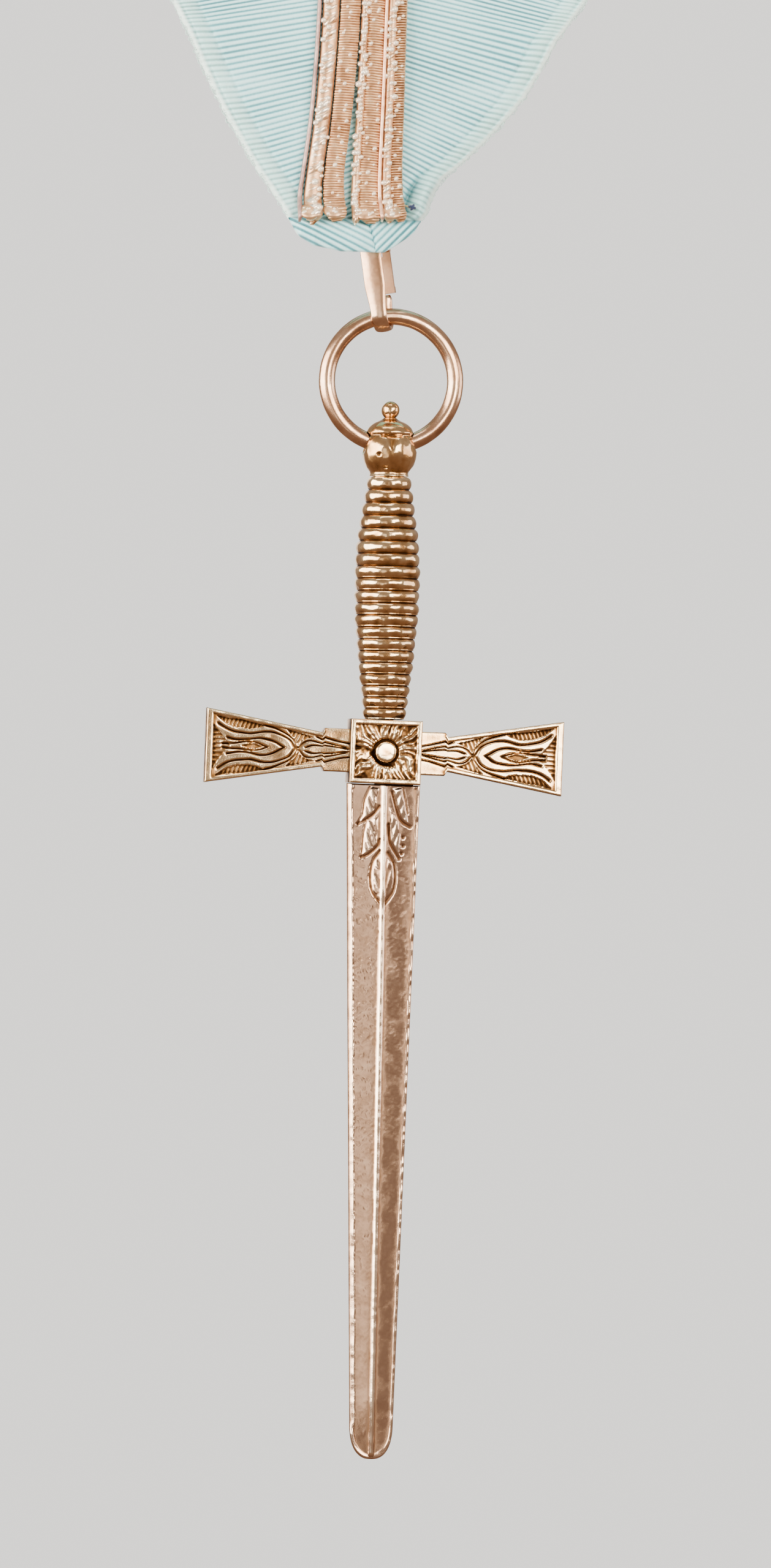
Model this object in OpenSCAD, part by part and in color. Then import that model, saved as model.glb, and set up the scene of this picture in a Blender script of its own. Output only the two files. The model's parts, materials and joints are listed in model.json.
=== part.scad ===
// Collar jewel: a cast dagger on a ring, hung by a spring hook from a pale blue ribbon collar.
// Millimetres, Z up, the front faces -Y. The origin is where the collar bears on the back of the neck.
// "Left" and "right" are as seen from the front.

/* [Collar] */
// Width of the ribbon
ribbon_w = 102; // [90:1:108]
// Thickness of the lined ribbon
cloth_t = 1.2; // [1:0.1:1.6]
// Angle of the front edges from the upright
point_angle = 28; // [25:1:31]
// Angle of the back edges from the upright
nape_angle = 50; // [46:1:56]
// Half width of the neck opening at the shoulder seams
neck_half = 75; // [68:1:84]
// Radius of the bend over the shoulders
shoulder_r = 75; // [70:1:85]
// Fall of the shoulders towards the arms, in degrees
shoulder_fall = 16; // [10:1:20]
// Depth of the front notch below the start of the shoulder bend
notch_drop = 5; // [2:1:10]
// Part of the back point that is turned in
nape_trim = 4; // [2:1:8]

/* [Point of the collar] */
// Length of the point that is turned up
point_cut = 14; // [12:0.5:16]
// Height of the part of the point that is shaped by the fold
point_h = 25; // [22:0.5:28]
// Height of the turned-up hem
hem_h = 3.1; // [2.6:0.1:3.6]
// Thickness of the turned-up hem
hem_t = 1.5; // [1.1:0.1:1.8]
// How far the right edge rolls back beside the hem
edge_roll = 1.4; // [0.6:0.1:2]

/* [Braid] */
// Width of one braid
braid_w = 4.3; // [3.8:0.1:4.6]
// Thickness of one braid
braid_t = 1.3; // [1:0.1:1.8]
// Height of the braid ends above the fold
braid_end_h = 2.7; // [2.4:0.1:3.2]

/* [Ring] */
// Radius of the ring to the middle of its wire
ring_r = 6.4; // [6:0.1:7]
// Diameter of the ring's wire
ring_wire_d = 1.64; // [1.4:0.02:1.72]
// Angle from the ring's top to the hook
hang_angle = 8.8; // [0:0.2:12]
// Distance of the jewel's middle to the right of the collar's middle
hang_x = 2.5; // [0:0.1:4]
// Height of the collar's fold above the middle of the ring
fold_above_ring = 12.6; // [12:0.1:14]

/* [Hook] */
// Width of the hook's strip
hook_w = 2.1; // [1.8:0.1:2.4]
// Width of the strip where it curls under the ring
hook_curl_w = 1.6; // [1.4:0.05:1.7]
// Thickness of the strip
hook_t = 0.46; // [0.4:0.02:0.6]
// Half of the clear depth inside the hook
hook_inner = 1.32; // [1.3:0.02:1.5]
// Height of the nose above the middle of the ring's wire
nose_h = 2.15; // [1.8:0.05:2.4]
// Height of the gate's pin above the middle of the ring's wire
gate_pin_h = 7; // [6.8:0.1:7.4]
// Diameter of the gate's pin
gate_pin_d = 0.66; // [0.5:0.02:0.7]
// Width of the gate
gate_w = 2.6; // [2.3:0.1:2.8]
// Turn of the hook about the upright, back to the right
hook_twist = 18; // [0:1:18]
// Outer radius of the sewing eye
eye_r = 2.1; // [1.9:0.1:2.4]
// Radius of the hole in the sewing eye
eye_hole_r = 1.2; // [1:0.1:1.3]

/* [Pommel] */
// Radius of the pommel's ball
pommel_r = 2.7; // [2.6:0.05:2.9]
// Radius of the bead on top
bead_r = 0.9; // [0.8:0.05:1]
// Height of the bead's middle above the bore
bead_h = 3.27; // [3.2:0.05:3.5]
// Height of the pommel's dome above the bore
pommel_up = 2.4; // [2.3:0.05:2.6]
// Depth of the pommel's foot below the bore
pommel_low = 3.3; // [3.2:0.05:3.6]
// Clearance of the bore round the ring's bent wire
bore_clear = 0.38; // [0.36:0.02:0.42]

/* [Grip] */
// Length of the grip
grip_l = 24.1; // [22:0.1:26]
// Largest radius of the grip
grip_r = 3.25; // [3:0.05:3.5]
// Number of turned rings
grip_rings = 20; // [16:1:22]
// Depth of the grooves between the rings
grip_groove = 0.32; // [0.2:0.02:0.4]
// How much closer the rings lie near the guard
ring_crowding = 0.08; // [0:0.01:0.1]

/* [Guard] */
// Width of the block
block_w = 7.1; // [6.8:0.1:7.6]
// Height of the block
block_h = 6.35; // [6:0.05:6.8]
// Depth of the block
block_d = 4.4; // [4:0.1:5]
// Half span of the arms
guard_half = 17.8; // [16:0.1:20]
// Thickness of the arms
arm_t = 2.4; // [2:0.1:2.8]
// Height of the arms at their ends
arm_end_h = 7.4; // [6.8:0.1:8]
// Height of the arms at their necks
arm_neck_h = 3.4; // [3:0.1:3.8]
// Height of the step beside the block
step_h = 4.3; // [4:0.1:4.8]
// Length of the step beside the block
step_l = 2.7; // [2.2:0.1:3]
// Lean of the guard, right end down, in degrees
guard_lean = 1.2; // [0:0.1:1.2]
// Width of the raised rims
rim_w = 0.38; // [0.3:0.02:0.5]
// Height of the raised ornament
relief = 0.22; // [0.14:0.02:0.3]
// Radius of the button on the block
button_r = 1.07; // [0.9:0.01:1.3]
// Number of leaves round the button
leaf_count = 12; // [8:1:16]

/* [Blade] */
// Length of the blade
blade_l = 66.95; // [60:0.05:72]
// Width of the blade at the guard
blade_w = 7.3; // [6.8:0.1:7.6]
// Width of the blade where its rounded point starts
blade_tip_w = 4.3; // [3.8:0.1:4.8]
// Length of the rounded point
point_l = 3.8; // [3:0.1:5]
// Thickness of the blade at its very tip
blade_tip_t = 0.8; // [0.6:0.1:1.2]
// Thickness of the blade over its ridges at the guard
blade_t = 2.9; // [2.4:0.1:3.4]
// Thickness of the blade's edges
blade_edge_t = 0.9; // [0.7:0.05:1.1]
// Width of the ridge bead
ridge_w = 0.45; // [0.35:0.05:0.6]
// Height of the ridge bead
ridge_h = 0.2; // [0.1:0.02:0.3]
// How far the blade's rims stand above its flat faces
rim_proud = 0.15; // [0.12:0.01:0.2]
// Length of the leaves below the guard
leaves_l = 12; // [8:0.5:16]
// Diameter of the tang that runs up into the pommel
tang_d = 1.8; // [1.6:0.1:2]

/* [Hidden] */

$fn = 48;
cloth_gap = 0.05;
bore_rise = 0.2;
sewn_gap = 0.3;
seat_gap = 0.05;
tang_gap = 0.05;
pin_gap = 0.08;
tang_in = 1.2;
row_step = 10;
bend_step = 7.5;
across = 6;
// Where the braids part: length over which each turns to the middle of its band, and the cut of its corners.
split_ease = 12;
corner_cut = 8;
// Length over which the braids come down from the hem to the bands.
hem_ramp = 2;
ribbon_blue = "#a9d3d8";
thread_gold = "#b89a7c";
cast_metal = "#b8a283";
hook_metal = "#b79f88";

// The ribbon pattern laid flat: x across, s up from the uncut front point.
notch_s = ribbon_w / sin(point_angle);
inner_corner = [neck_half, notch_s + neck_half / tan(point_angle)];
mitre_tilt = (nape_angle - point_angle) / 2;
mitre_l = ribbon_w / cos((nape_angle + point_angle) / 2);
outer_corner = inner_corner + mitre_l * [cos(mitre_tilt), sin(mitre_tilt)];
nape_in_s = inner_corner[1] + neck_half / tan(nape_angle);
nape_out_s = outer_corner[1] + outer_corner[0] / tan(nape_angle) - nape_trim;
bend_lo_s = notch_s + notch_drop;
bend_hi_s = bend_lo_s + PI * shoulder_r;
point_half = (point_cut + point_h) * tan(point_angle);
centre_s = notch_s / 2;

// Outline of the shaped point. Heights are shares of point_h, edges and roll are shares too.
// [height, left edge, right edge, roll of the right edge]
point_rows = [
    [0.00, 0.150, 0.056, 0.0],
    [0.02, 0.280, 0.100, 0.1],
    [0.05, 0.345, 0.155, 0.2],
    [0.08, 0.375, 0.200, 0.3],
    [0.11, 0.395, 0.222, 0.5],
    [0.16, 0.430, 0.272, 0.8],
    [0.20, 0.465, 0.285, 1.0],
    [0.25, 0.505, 0.310, 1.0],
    [0.30, 0.550, 0.345, 0.8],
    [0.37, 0.605, 0.448, 0.7],
    [0.49, 0.690, 0.590, 0.6],
    [0.61, 0.770, 0.713, 0.4],
    [0.73, 0.838, 0.800, 0.2],
    [0.85, 0.905, 0.870, 0.1],
    [1.00, 1.000, 1.000, 0.0]];

// Lie of the braids on the point. Heights are shares of point_h, places and widths of braid_w.
// [height, left middle, left width, right middle, right width]
braid_rows = [
    [0.20, -1.22, 1.07, 0.06, 1.15],
    [0.31, -1.19, 0.95, 0.05, 1.10],
    [0.54, -1.01, 0.96, 0.10, 1.05],
    [1.00, -0.85, 0.99, 0.155, 1.00]];
// Where the braids end, and where they lie once clear of the point.
braid_foot = [-1.18, 1.07, 0.10, 1.16];
braid_free = [-0.53, 1.00, 0.53, 1.00];

// Section of a braid: two ribs. [place across as a share of the width, height as a share of the thickness]
braid_section = [[-0.5, 0], [-0.5, 0.45], [-0.38, 0.9], [-0.25, 1], [-0.12, 0.85], [0, 0.5],
                 [0.12, 0.85], [0.25, 1], [0.38, 0.9], [0.5, 0.45], [0.5, 0]];

// Profile of the pommel. Radii are shares of pommel_r, heights of pommel_up (above 0) or pommel_low (below).
pommel_rows = [[0, 1], [0.33, 0.96], [0.59, 0.83], [0.78, 0.65], [0.86, 0.46], [0.85, 0.36], [0.83, 0.29],
               [0.91, 0.13], [0.98, -0.09], [1, -0.29], [0.97, -0.48], [0.89, -0.65], [0.78, -0.79],
               [0.70, -0.89], [0.72, -1], [0, -1]];

// Swell of the grip. [share of the length from the pommel, share of grip_r]
grip_rows = [[0, 0.655], [0.1, 0.77], [0.2, 0.89], [0.31, 0.985], [0.41, 1], [0.56, 0.99], [0.66, 0.92],
             [0.77, 0.855], [0.88, 0.75], [1, 0.64]];

// Ornament of an arm. Lengths run from the neck to the end rim as shares, heights as shares of the half height.
scroll_rows = [[0.215, 0], [0.24, 0.45], [0.29, 0.72], [0.38, 0.84], [0.49, 0.86], [0.62, 0.72], [0.74, 0.57],
               [0.86, 0.64], [0.94, 0.82], [1, 1]];
scroll_inner = [[0.30, 0], [0.33, 0.36], [0.40, 0.56], [0.50, 0.60], [0.62, 0.50], [0.74, 0.38], [0.86, 0.42],
                [0.93, 0.52]];
eye_rows = [[0.50, 0], [0.56, 0.15], [0.63, 0.13], [0.70, 0], [0.63, -0.13], [0.56, -0.15]];
tulip_rows = [[0.19, 0], [0.16, 0.42], [0.10, 0.55], [0.02, 0.40], [-0.12, 0.12], [-0.12, -0.12],
              [0.02, -0.40], [0.10, -0.55], [0.16, -0.42]];

// Leaves on the blade below the guard: [out from the ridge as a share of the half width,
// down from the guard as a share of leaves_l].
leaf_outer = [[0.14, 0], [0.36, 0], [0.41, 0.12], [0.63, 0.26], [0.74, 0.34], [0.52, 0.31], [0.27, 0.23],
              [0.16, 0.12]];
leaf_inner = [[0.10, 0.18], [0.33, 0.27], [0.47, 0.42], [0.63, 0.61], [0.36, 0.55], [0.16, 0.45]];
leaf_lens = [[0.07, 0.52], [0.22, 0.61], [0.34, 0.77], [0.25, 0.90], [0.07, 1.00]];

// Linear reading of column c of a table at the value v of its first column.
function read(rows, v, c, i = 0) =
    v <= rows[0][0] ? rows[0][c] :
    i >= len(rows) - 2 || v <= rows[i + 1][0]
        ? lerp(rows[i][c], rows[i + 1][c],
               min(1, (v - rows[i][0]) / (rows[i + 1][0] - rows[i][0])))
        : read(rows, v, c, i + 1);

function lerp(a, b, t) = a + (b - a) * t;
function clamp(v, lo, hi) = min(max(v, lo), hi);
function unit(v) = v / norm(v);
function reversed(v) = [for (i = [len(v) - 1 : -1 : 0]) v[i]];

function sorted(v) = len(v) < 2 ? v :
    let (pivot = v[floor(len(v) / 2)])
    concat(sorted([for (a = v) if (a < pivot) a]), [pivot], sorted([for (a = v) if (a > pivot) a]));

// Each key level, with even steps between one and the next.
function filled(keys) = concat(
    [for (i = [0 : len(keys) - 2])
        let (a = keys[i],
             b = keys[i + 1],
             bent = a >= bend_lo_s - 0.1 && a < bend_hi_s - 0.1,
             n = max(1, ceil((b - a) / (bent ? bend_step : row_step))))
        for (k = [0 : n - 1]) lerp(a, b, k / n)],
    [keys[len(keys) - 1]]);

// Bend angle at the level s: 0 on the chest, 90 on the crest of the shoulders, 180 on the back.
function bend_at(s) = clamp((s - bend_lo_s) / shoulder_r * 180 / PI, 0, 180);

// Place in space of the pattern point (x, s), raised by d from the inner face of the cloth.
function draped(x, s, d) =
    let (a = bend_at(s),
         r = shoulder_r + d,
         below = min(0, s - bend_lo_s),
         beyond = max(0, s - bend_hi_s),
         fall = max(0, abs(x) - neck_half * 0.7) * tan(shoulder_fall) * pow(sin(a), 2))
    [x, -r * cos(a), r * sin(a) + below - beyond - fall] - nape_seat;
nape_seat = [0,
             -shoulder_r * cos(bend_at(nape_in_s)),
             shoulder_r * sin(bend_at(nape_in_s)) - max(0, nape_in_s - bend_hi_s)];

fold_z = draped(0, point_cut, 0)[2];
chest_y = draped(0, point_cut, 0)[1];
// Half depth of the turned hook, and its clearance behind the cloth.
hook_reach = (hook_inner + hook_t) * cos(hook_twist) + hook_w / 2 * sin(hook_twist);
jewel_y = chest_y + hook_reach + sewn_gap;
ring_z = fold_z - fold_above_ring;
bore_z = ring_z - ring_r + bore_rise;
bore_r = ring_wire_d / 2 + bore_clear;

// Inner and outer edge of a band at the level s, measured from the middle.
function inner_edge(s) =
    s < notch_s ? cloth_gap :
    s < inner_corner[1] ? max(cloth_gap, (s - notch_s) * tan(point_angle)) :
    max(cloth_gap, neck_half - (s - inner_corner[1]) * tan(nape_angle));
function outer_edge(s, side) =
    let (h = (s - point_cut) / point_h)
    h < 1 ? point_half * read(point_rows, h, side < 0 ? 1 : 2) :
    s < outer_corner[1] ? s * tan(point_angle) :
    outer_corner[0] - (s - outer_corner[1]) * tan(nape_angle);
function roll_at(s, side, t) =
    side < 0 ? 0 : edge_roll * read(point_rows, (s - point_cut) / point_h, 3) * pow(t, 3);

band_levels = filled(sorted(concat(
    [for (r = point_rows) point_cut + r[0] * point_h],
    [notch_s, bend_lo_s, inner_corner[1], outer_corner[1], nape_in_s, bend_hi_s, nape_out_s])));

// Front or back face of a band as rows of points.
function band_face(side, d) = [for (s = band_levels)
    [for (k = [0 : across])
        let (t = k / across,
             x = lerp(inner_edge(s), outer_edge(s, side), t))
        draped(side * x, s, d - roll_at(s, side, t))]];

// Closed solid between two faces of equal rows and columns. flip turns the faces outwards.
module slab(front, back, flip) {
    n = len(front);
    m = len(front[0]);
    points = concat([for (row = front) each row], [for (row = back) each row]);
    back_start = n * m;
    edge = concat([for (k = [0 : m - 1]) k],
                  [for (i = [1 : n - 1]) i * m + m - 1],
                  [for (k = [m - 2 : -1 : 0]) (n - 1) * m + k],
                  [for (i = [n - 2 : -1 : 1]) i * m]);
    faces = concat(
        [for (i = [0 : n - 2], k = [0 : m - 2]) let (p = i * m + k) each
            [[p, p + 1, p + m + 1], [p, p + m + 1, p + m]]],
        [for (i = [0 : n - 2], k = [0 : m - 2]) let (p = back_start + i * m + k) each
            [[p, p + m + 1, p + 1], [p, p + m, p + m + 1]]],
        [for (i = [0 : len(edge) - 1])
            let (a = edge[i],
                 b = edge[(i + 1) % len(edge)])
            each [[b, a, a + back_start], [b, a + back_start, b + back_start]]]);
    polyhedron(points, flip ? [for (f = faces) [f[0], f[2], f[1]]] : faces);
}

// Closed solid through a row of equal rings.
module tube(rings) {
    n = len(rings);
    m = len(rings[0]);
    faces = concat(
        [[for (k = [0 : m - 1]) k]],
        [[for (k = [m - 1 : -1 : 0]) (n - 1) * m + k]],
        [for (i = [0 : n - 2], k = [0 : m - 1])
            let (a = i * m + k,
                 b = i * m + (k + 1) % m)
            each [[b, a, a + m], [b, a + m, b + m]]]);
    polyhedron([for (r = rings) each r], faces);
}

module left_band() {
    color(ribbon_blue) slab(band_face(-1, cloth_t), band_face(-1, 0), true);
}

module right_band() {
    color(ribbon_blue) slab(band_face(1, cloth_t), band_face(1, 0), false);
}

// The turned-up point in front of the bands, rounded along its fold.
hem_levels = [0, 0.03, 0.09, 0.2, 0.4, 0.7, 1];
function hem_face(outer) = [for (t = hem_levels)
    [for (k = [-across : across])
        let (s = point_cut + t * hem_h,
             side = k < 0 ? -1 : 1,
             edge = outer_edge(s, side),
             u = abs(k) / across,
             round_in = sqrt(max(0, 1 - pow(1 - min(1, t * 3.5), 2))) * sqrt(max(0, 1 - pow(u, 6))),
             d = cloth_t + cloth_gap + (outer ? hem_t * max(0.12, round_in) : 0))
        draped(side * edge * u, s, d)]];

module point_hem() {
    color(ribbon_blue) slab(hem_face(true), hem_face(false), false);
}

// Route of a braid on the flat pattern: [x, s, width].
function braid_route(side) =
    let (c = side < 0 ? 1 : 3,
         f = side < 0 ? 0 : 2,
         dir = [side * sin(point_angle), cos(point_angle)],
         corner = (inner_corner + outer_corner) / 2,
         first = [braid_foot[f] * braid_w, point_cut + braid_end_h, braid_foot[f + 1] * braid_w],
         low = [for (r = braid_rows) [r[c] * braid_w, point_cut + r[0] * point_h, r[c + 1] * braid_w]],
         free = [braid_free[f] * braid_w, centre_s - split_ease / 6, braid_w],
         joins = [0, centre_s] + split_ease * dir,
         corner_at = [side * corner[0], corner[1]],
         end_s = (nape_in_s + nape_out_s + nape_trim) / 2,
         end_at = [side * (braid_w / 2 + cloth_gap) / cos(nape_angle), end_s])
    concat([first], low, [free],
           [for (p = [joins, corner_at, end_at]) [p[0], p[1], braid_w]]);

// Cut the corners of a route once: its end legs by a quarter, the others by up to the length corner_cut.
function eased(route) = concat([route[0]],
    [for (i = [0 : len(route) - 2])
        let (a = route[i],
             b = route[i + 1],
             cut = min(0.25, corner_cut / norm(b - a)))
        each [lerp(a, b, i == 0 ? 0.25 : cut), lerp(b, a, i == len(route) - 2 ? 0.25 : cut)]],
    [route[len(route) - 1]]);
function stepped(route) = concat(
    [for (i = [0 : len(route) - 2])
        let (a = route[i],
             b = route[i + 1],
             n = max(1, ceil(norm(b - a) / bend_step)))
        for (k = [0 : n - 1]) lerp(a, b, k / n)],
    [route[len(route) - 1]]);

// The braids lie on the hem near their ends and on the bands above it.
function under_braid(s) =
    cloth_t + cloth_gap + (hem_t + cloth_gap) * clamp(1 - (s - point_cut - hem_h) / hem_ramp, 0, 1);

module braid(side) {
    route = stepped(eased(eased(braid_route(side))));
    last = len(route) - 1;
    rings = [for (i = [0 : last])
        let (p = route[i],
             ahead = route[min(last, i + 1)] - route[max(0, i - 1)],
             along = unit([ahead[0], ahead[1]]),
             normal = [along[1], -along[0]])
        [for (q = braid_section)
            let (at = [p[0], p[1]] + q[0] * p[2] * normal)
            draped(at[0], at[1], under_braid(p[1]) + q[1] * braid_t)]];
    tube(rings);
}

module left_braid() {
    color(thread_gold) braid(-1);
}

module right_braid() {
    color(thread_gold) braid(1);
}

// Frame of the jewel: its origin is the middle of the ring.
module at_ring() {
    translate([hang_x, jewel_y, ring_z]) children();
}

// Frame of the hook: the ring's wire passes through its origin.
module at_hook() {
    at_ring() rotate([0, -hang_angle, 0]) translate([0, 0, ring_r]) rotate([0, 0, -hook_twist]) children();
}

// Frame of the dagger: its origin is on the bore through the pommel.
module at_dagger() {
    translate([hang_x, jewel_y, bore_z]) children();
}

// Extrudes a side view of the hook, drawn as [y, z], to the width w.
module across_hook(w) {
    rotate([90, 0, 90]) linear_extrude(w, center = true) children();
}

curl_z = 0.26;
hook_outer = hook_inner + hook_t;
leg_mid = hook_inner + hook_t / 2;
lug_w = 0.9;
lug_r = 0.75;
lug_up = 1.4;
top_z = gate_pin_h + lug_up;
eye_lap = 0.6;
eye_z = top_z + hook_outer + eye_r - eye_lap;
eye_t = 0.8;

// Half ring of the strip round the height z. up is 1 for the top bend and -1 for the curl.
module strip_bend(z, up) {
    translate([0, z]) intersection() {
        difference() {
            circle(r = hook_outer);
            circle(r = hook_inner);
        }
        translate([0, up * hook_outer]) square(2 * hook_outer, center = true);
    }
}

module spring_hook() {
    color(hook_metal) at_hook() {
        difference() {
            union() {
                intersection() {
                    across_hook(hook_w) {
                        strip_bend(curl_z, -1);
                        translate([-hook_outer, curl_z]) square([hook_t, top_z - curl_z]);
                        translate([hook_inner, curl_z]) square([hook_t, nose_h - curl_z]);
                        strip_bend(top_z, 1);
                    }
                    hook_front();
                }
                across_hook(lug_w) {
                    translate([hook_inner, gate_pin_h]) square([hook_t, top_z - gate_pin_h + 0.1]);
                    translate([leg_mid, gate_pin_h]) circle(r = lug_r);
                }
                translate([0, -hook_outer, eye_z]) rotate([-90, 0, 0]) cylinder(r = eye_r, h = eye_t);
            }
            translate([0, leg_mid, gate_pin_h]) rotate([0, 90, 0])
                cylinder(d = gate_pin_d + 2 * pin_gap, h = 2 * hook_w, center = true);
            translate([0, -2 * hook_outer, eye_z]) rotate([-90, 0, 0]) cylinder(r = eye_hole_r, h = 2 * hook_outer);
        }
    }
}

// Front view of the hook's strip, which narrows towards the curl.
taper_low = 0.8;
taper_high = 3;
module hook_front() {
    rotate([90, 0, 0]) linear_extrude(4 * hook_outer, center = true)
        polygon([[-hook_curl_w / 2, -2 * hook_outer], [hook_curl_w / 2, -2 * hook_outer],
                 [hook_curl_w / 2, taper_low], [hook_w / 2, taper_high], [hook_w / 2, 2 * top_z],
                 [-hook_w / 2, 2 * top_z], [-hook_w / 2, taper_high], [-hook_curl_w / 2, taper_low]]);
}

gate_gap = 0.15;
gate_block_h = 0.6;
gate_block_t = 0.25;
cheek_foot = 0.3;
cheek_r = 0.65;
cheek_gap = 0.1;
gate_strip_top = gate_pin_h - lug_r - 0.25;
gate_leaf_w = (gate_w - lug_w - 2 * cheek_gap) / 2;

module hook_gate() {
    color(hook_metal) at_hook() {
        across_hook(gate_w) {
            translate([hook_inner, nose_h + gate_gap])
                square([hook_t, gate_strip_top - nose_h - gate_gap]);
            translate([hook_inner, nose_h + gate_gap]) square([hook_t + gate_block_t, gate_block_h]);
        }
        for (side = [-1, 1])
            translate([side * (lug_w / 2 + cheek_gap + gate_leaf_w / 2), 0, 0])
                across_hook(gate_leaf_w) {
                    translate([leg_mid, gate_pin_h]) circle(r = cheek_r);
                    translate([hook_inner, gate_strip_top - cheek_foot])
                        square([hook_t, gate_pin_h - gate_strip_top + cheek_foot]);
                }
        translate([0, leg_mid, gate_pin_h]) rotate([0, 90, 0])
            cylinder(d = gate_pin_d, h = gate_w, center = true);
    }
}

module hanging_ring() {
    color(hook_metal) at_ring() rotate([90, 0, 0])
        rotate_extrude($fn = 96) translate([ring_r, 0]) circle(d = ring_wire_d);
}

module pommel() {
    color(cast_metal) at_dagger() difference() {
        union() {
            rotate_extrude() polygon([for (r = pommel_rows)
                [r[0] * pommel_r, r[1] * (r[1] > 0 ? pommel_up : pommel_low)]]);
            translate([0, 0, pommel_up - 0.2]) cylinder(r = bead_r * 0.6, h = bead_h - pommel_up + 0.2);
            translate([0, 0, bead_h]) sphere(r = bead_r);
        }
        rotate([0, 90, 0]) cylinder(r = bore_r, h = 3 * pommel_r, center = true);
        translate([0, 0, -pommel_low - 1]) cylinder(d = tang_d + 2 * tang_gap, h = 1 + tang_in + seat_gap);
    }
}

grip_top = -pommel_low - seat_gap;
grip_foot = grip_top - grip_l;
block_top = grip_foot - seat_gap;
block_mid = block_top - block_h / 2;
blade_top = block_top - block_h - seat_gap - block_w / 2 * tan(guard_lean);

// Share of the grip's length at ring i, counted with half rings.
function ring_share(i) = let (t = i / grip_rings) t * (1 + ring_crowding * (1 - t));
function grip_half(t) = grip_r * read(grip_rows, t, 1);

module grip() {
    // Depth of the outline within one ring: groove, flank, crest, crest, flank.
    ring_steps = [[0, 1], [0.16, 0.32], [0.36, 0], [0.64, 0], [0.84, 0.32]];
    outline = [for (i = [0 : grip_rings - 1], q = ring_steps)
        let (t = ring_share(i + q[0]))
        [grip_half(t) - grip_groove * q[1], grip_top - t * grip_l]];
    color(cast_metal) at_dagger() rotate_extrude()
        polygon(concat([[tang_d / 2 + tang_gap, grip_top]], outline,
                       [[grip_half(1) - grip_groove, grip_foot], [tang_d / 2 + tang_gap, grip_foot]]));
}

neck_x = block_w / 2 + step_l;
end_rim = 0.65;
// Depth of the arm's root in the block, and the slope from the step down to the neck.
arm_root = 0.3;
step_slope = 0.25;
function arm_half(x) = lerp(arm_neck_h, arm_end_h, (x - neck_x) / (guard_half - neck_x)) / 2;
// Place on an arm of an ornament point: share of the length from the neck, share of the half height.
function on_arm(p) = let (x = lerp(neck_x, guard_half - end_rim, p[0])) [x, p[1] * (arm_half(x) - rim_w)];
function both_halves(rows) = concat([for (p = rows) on_arm(p)],
                                    [for (p = reversed(rows)) if (p[1] > 0) on_arm([p[0], -p[1]])]);

module arm_outline() {
    polygon([[block_w / 2 - arm_root, step_h / 2], [neck_x - step_slope, step_h / 2], [neck_x, arm_neck_h / 2],
             [guard_half, arm_end_h / 2], [guard_half, -arm_end_h / 2], [neck_x, -arm_neck_h / 2],
             [neck_x - step_slope, -step_h / 2], [block_w / 2 - arm_root, -step_h / 2]]);
}

// The sunk field of an arm, inside its rims.
module arm_field() {
    far = guard_half - end_rim;
    near = neck_x + rim_w;
    polygon([[near, arm_neck_h / 2 - rim_w], [far, arm_half(far) - rim_w],
             [far, -arm_half(far) + rim_w], [near, -arm_neck_h / 2 + rim_w]]);
}

module arm_ornament() {
    difference() {
        polygon(both_halves(scroll_rows));
        polygon(both_halves(scroll_inner));
    }
    polygon([for (p = eye_rows) on_arm(p)]);
    polygon([for (p = tulip_rows) on_arm(p)]);
}

// Lays flat work, drawn as [x, z], on the front at the depth y.
module on_front(y, h) {
    translate([0, y, 0]) rotate([90, 0, 0]) linear_extrude(h) children();
}

module arm() {
    on_front(arm_t / 2 - relief, arm_t - 2 * relief) arm_outline();
    for (face = [0, 1]) mirror([0, face, 0]) {
        on_front(-arm_t / 2 + relief + 0.01, relief + 0.01) {
            difference() {
                arm_outline();
                arm_field();
            }
            arm_ornament();
        }
    }
}

// Leaf of the block: its root and belly out from the button, its half width there and at the rim.
leaf_root = 0.25;
leaf_belly = 0.9;
leaf_half = 0.36;
leaf_half_far = 0.12;
// How far the button reaches into the block, and how far it stands above the leaves.
button_root = 0.1;
button_proud = 0.05;

module block_leaf() {
    far = block_w * 0.62;
    polygon([[button_r + leaf_root, 0], [button_r + leaf_belly, leaf_half], [far, leaf_half_far],
             [far, -leaf_half_far], [button_r + leaf_belly, -leaf_half]]);
}

module block_face() {
    inner_w = block_w - 2.6 * rim_w;
    inner_h = block_h - 2.6 * rim_w;
    on_front(-block_d / 2 + relief + 0.01, relief + 0.01) {
        difference() {
            square([block_w, block_h], center = true);
            square([inner_w, inner_h], center = true);
        }
        intersection() {
            square([inner_w - rim_w / 2, inner_h - rim_w / 2], center = true);
            for (i = [0 : leaf_count - 1]) rotate(i * 360 / leaf_count) block_leaf();
        }
    }
    translate([0, -block_d / 2 + relief + button_root, 0]) rotate([90, 0, 0])
        cylinder(r1 = button_r, r2 = button_r * 0.8, h = button_root + relief + button_proud);
}

module cross_guard() {
    color(cast_metal) at_dagger() difference() {
        translate([0, 0, block_mid]) rotate([0, guard_lean, 0]) {
            cube([block_w, block_d - 2 * relief, block_h], center = true);
            for (face = [0, 1]) mirror([0, face, 0]) block_face();
            for (side = [0, 1]) mirror([side, 0, 0]) arm();
        }
        translate([0, 0, block_mid - block_h]) cylinder(d = tang_d + 2 * tang_gap, h = 2 * block_h);
    }
}

// Half width of the blade and of its flat faces' ridge at the length l below the guard.
function blade_half(l) = lerp(blade_w, blade_tip_w, l / (blade_l - point_l)) / 2;
face_edge = blade_edge_t / 2 - rim_proud;
face_rise = (blade_t / 2 - ridge_h - face_edge) / (blade_w / 2);
face_slope = atan(face_rise);
function face_peak(l) = face_edge + face_rise * blade_half(l);

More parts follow.
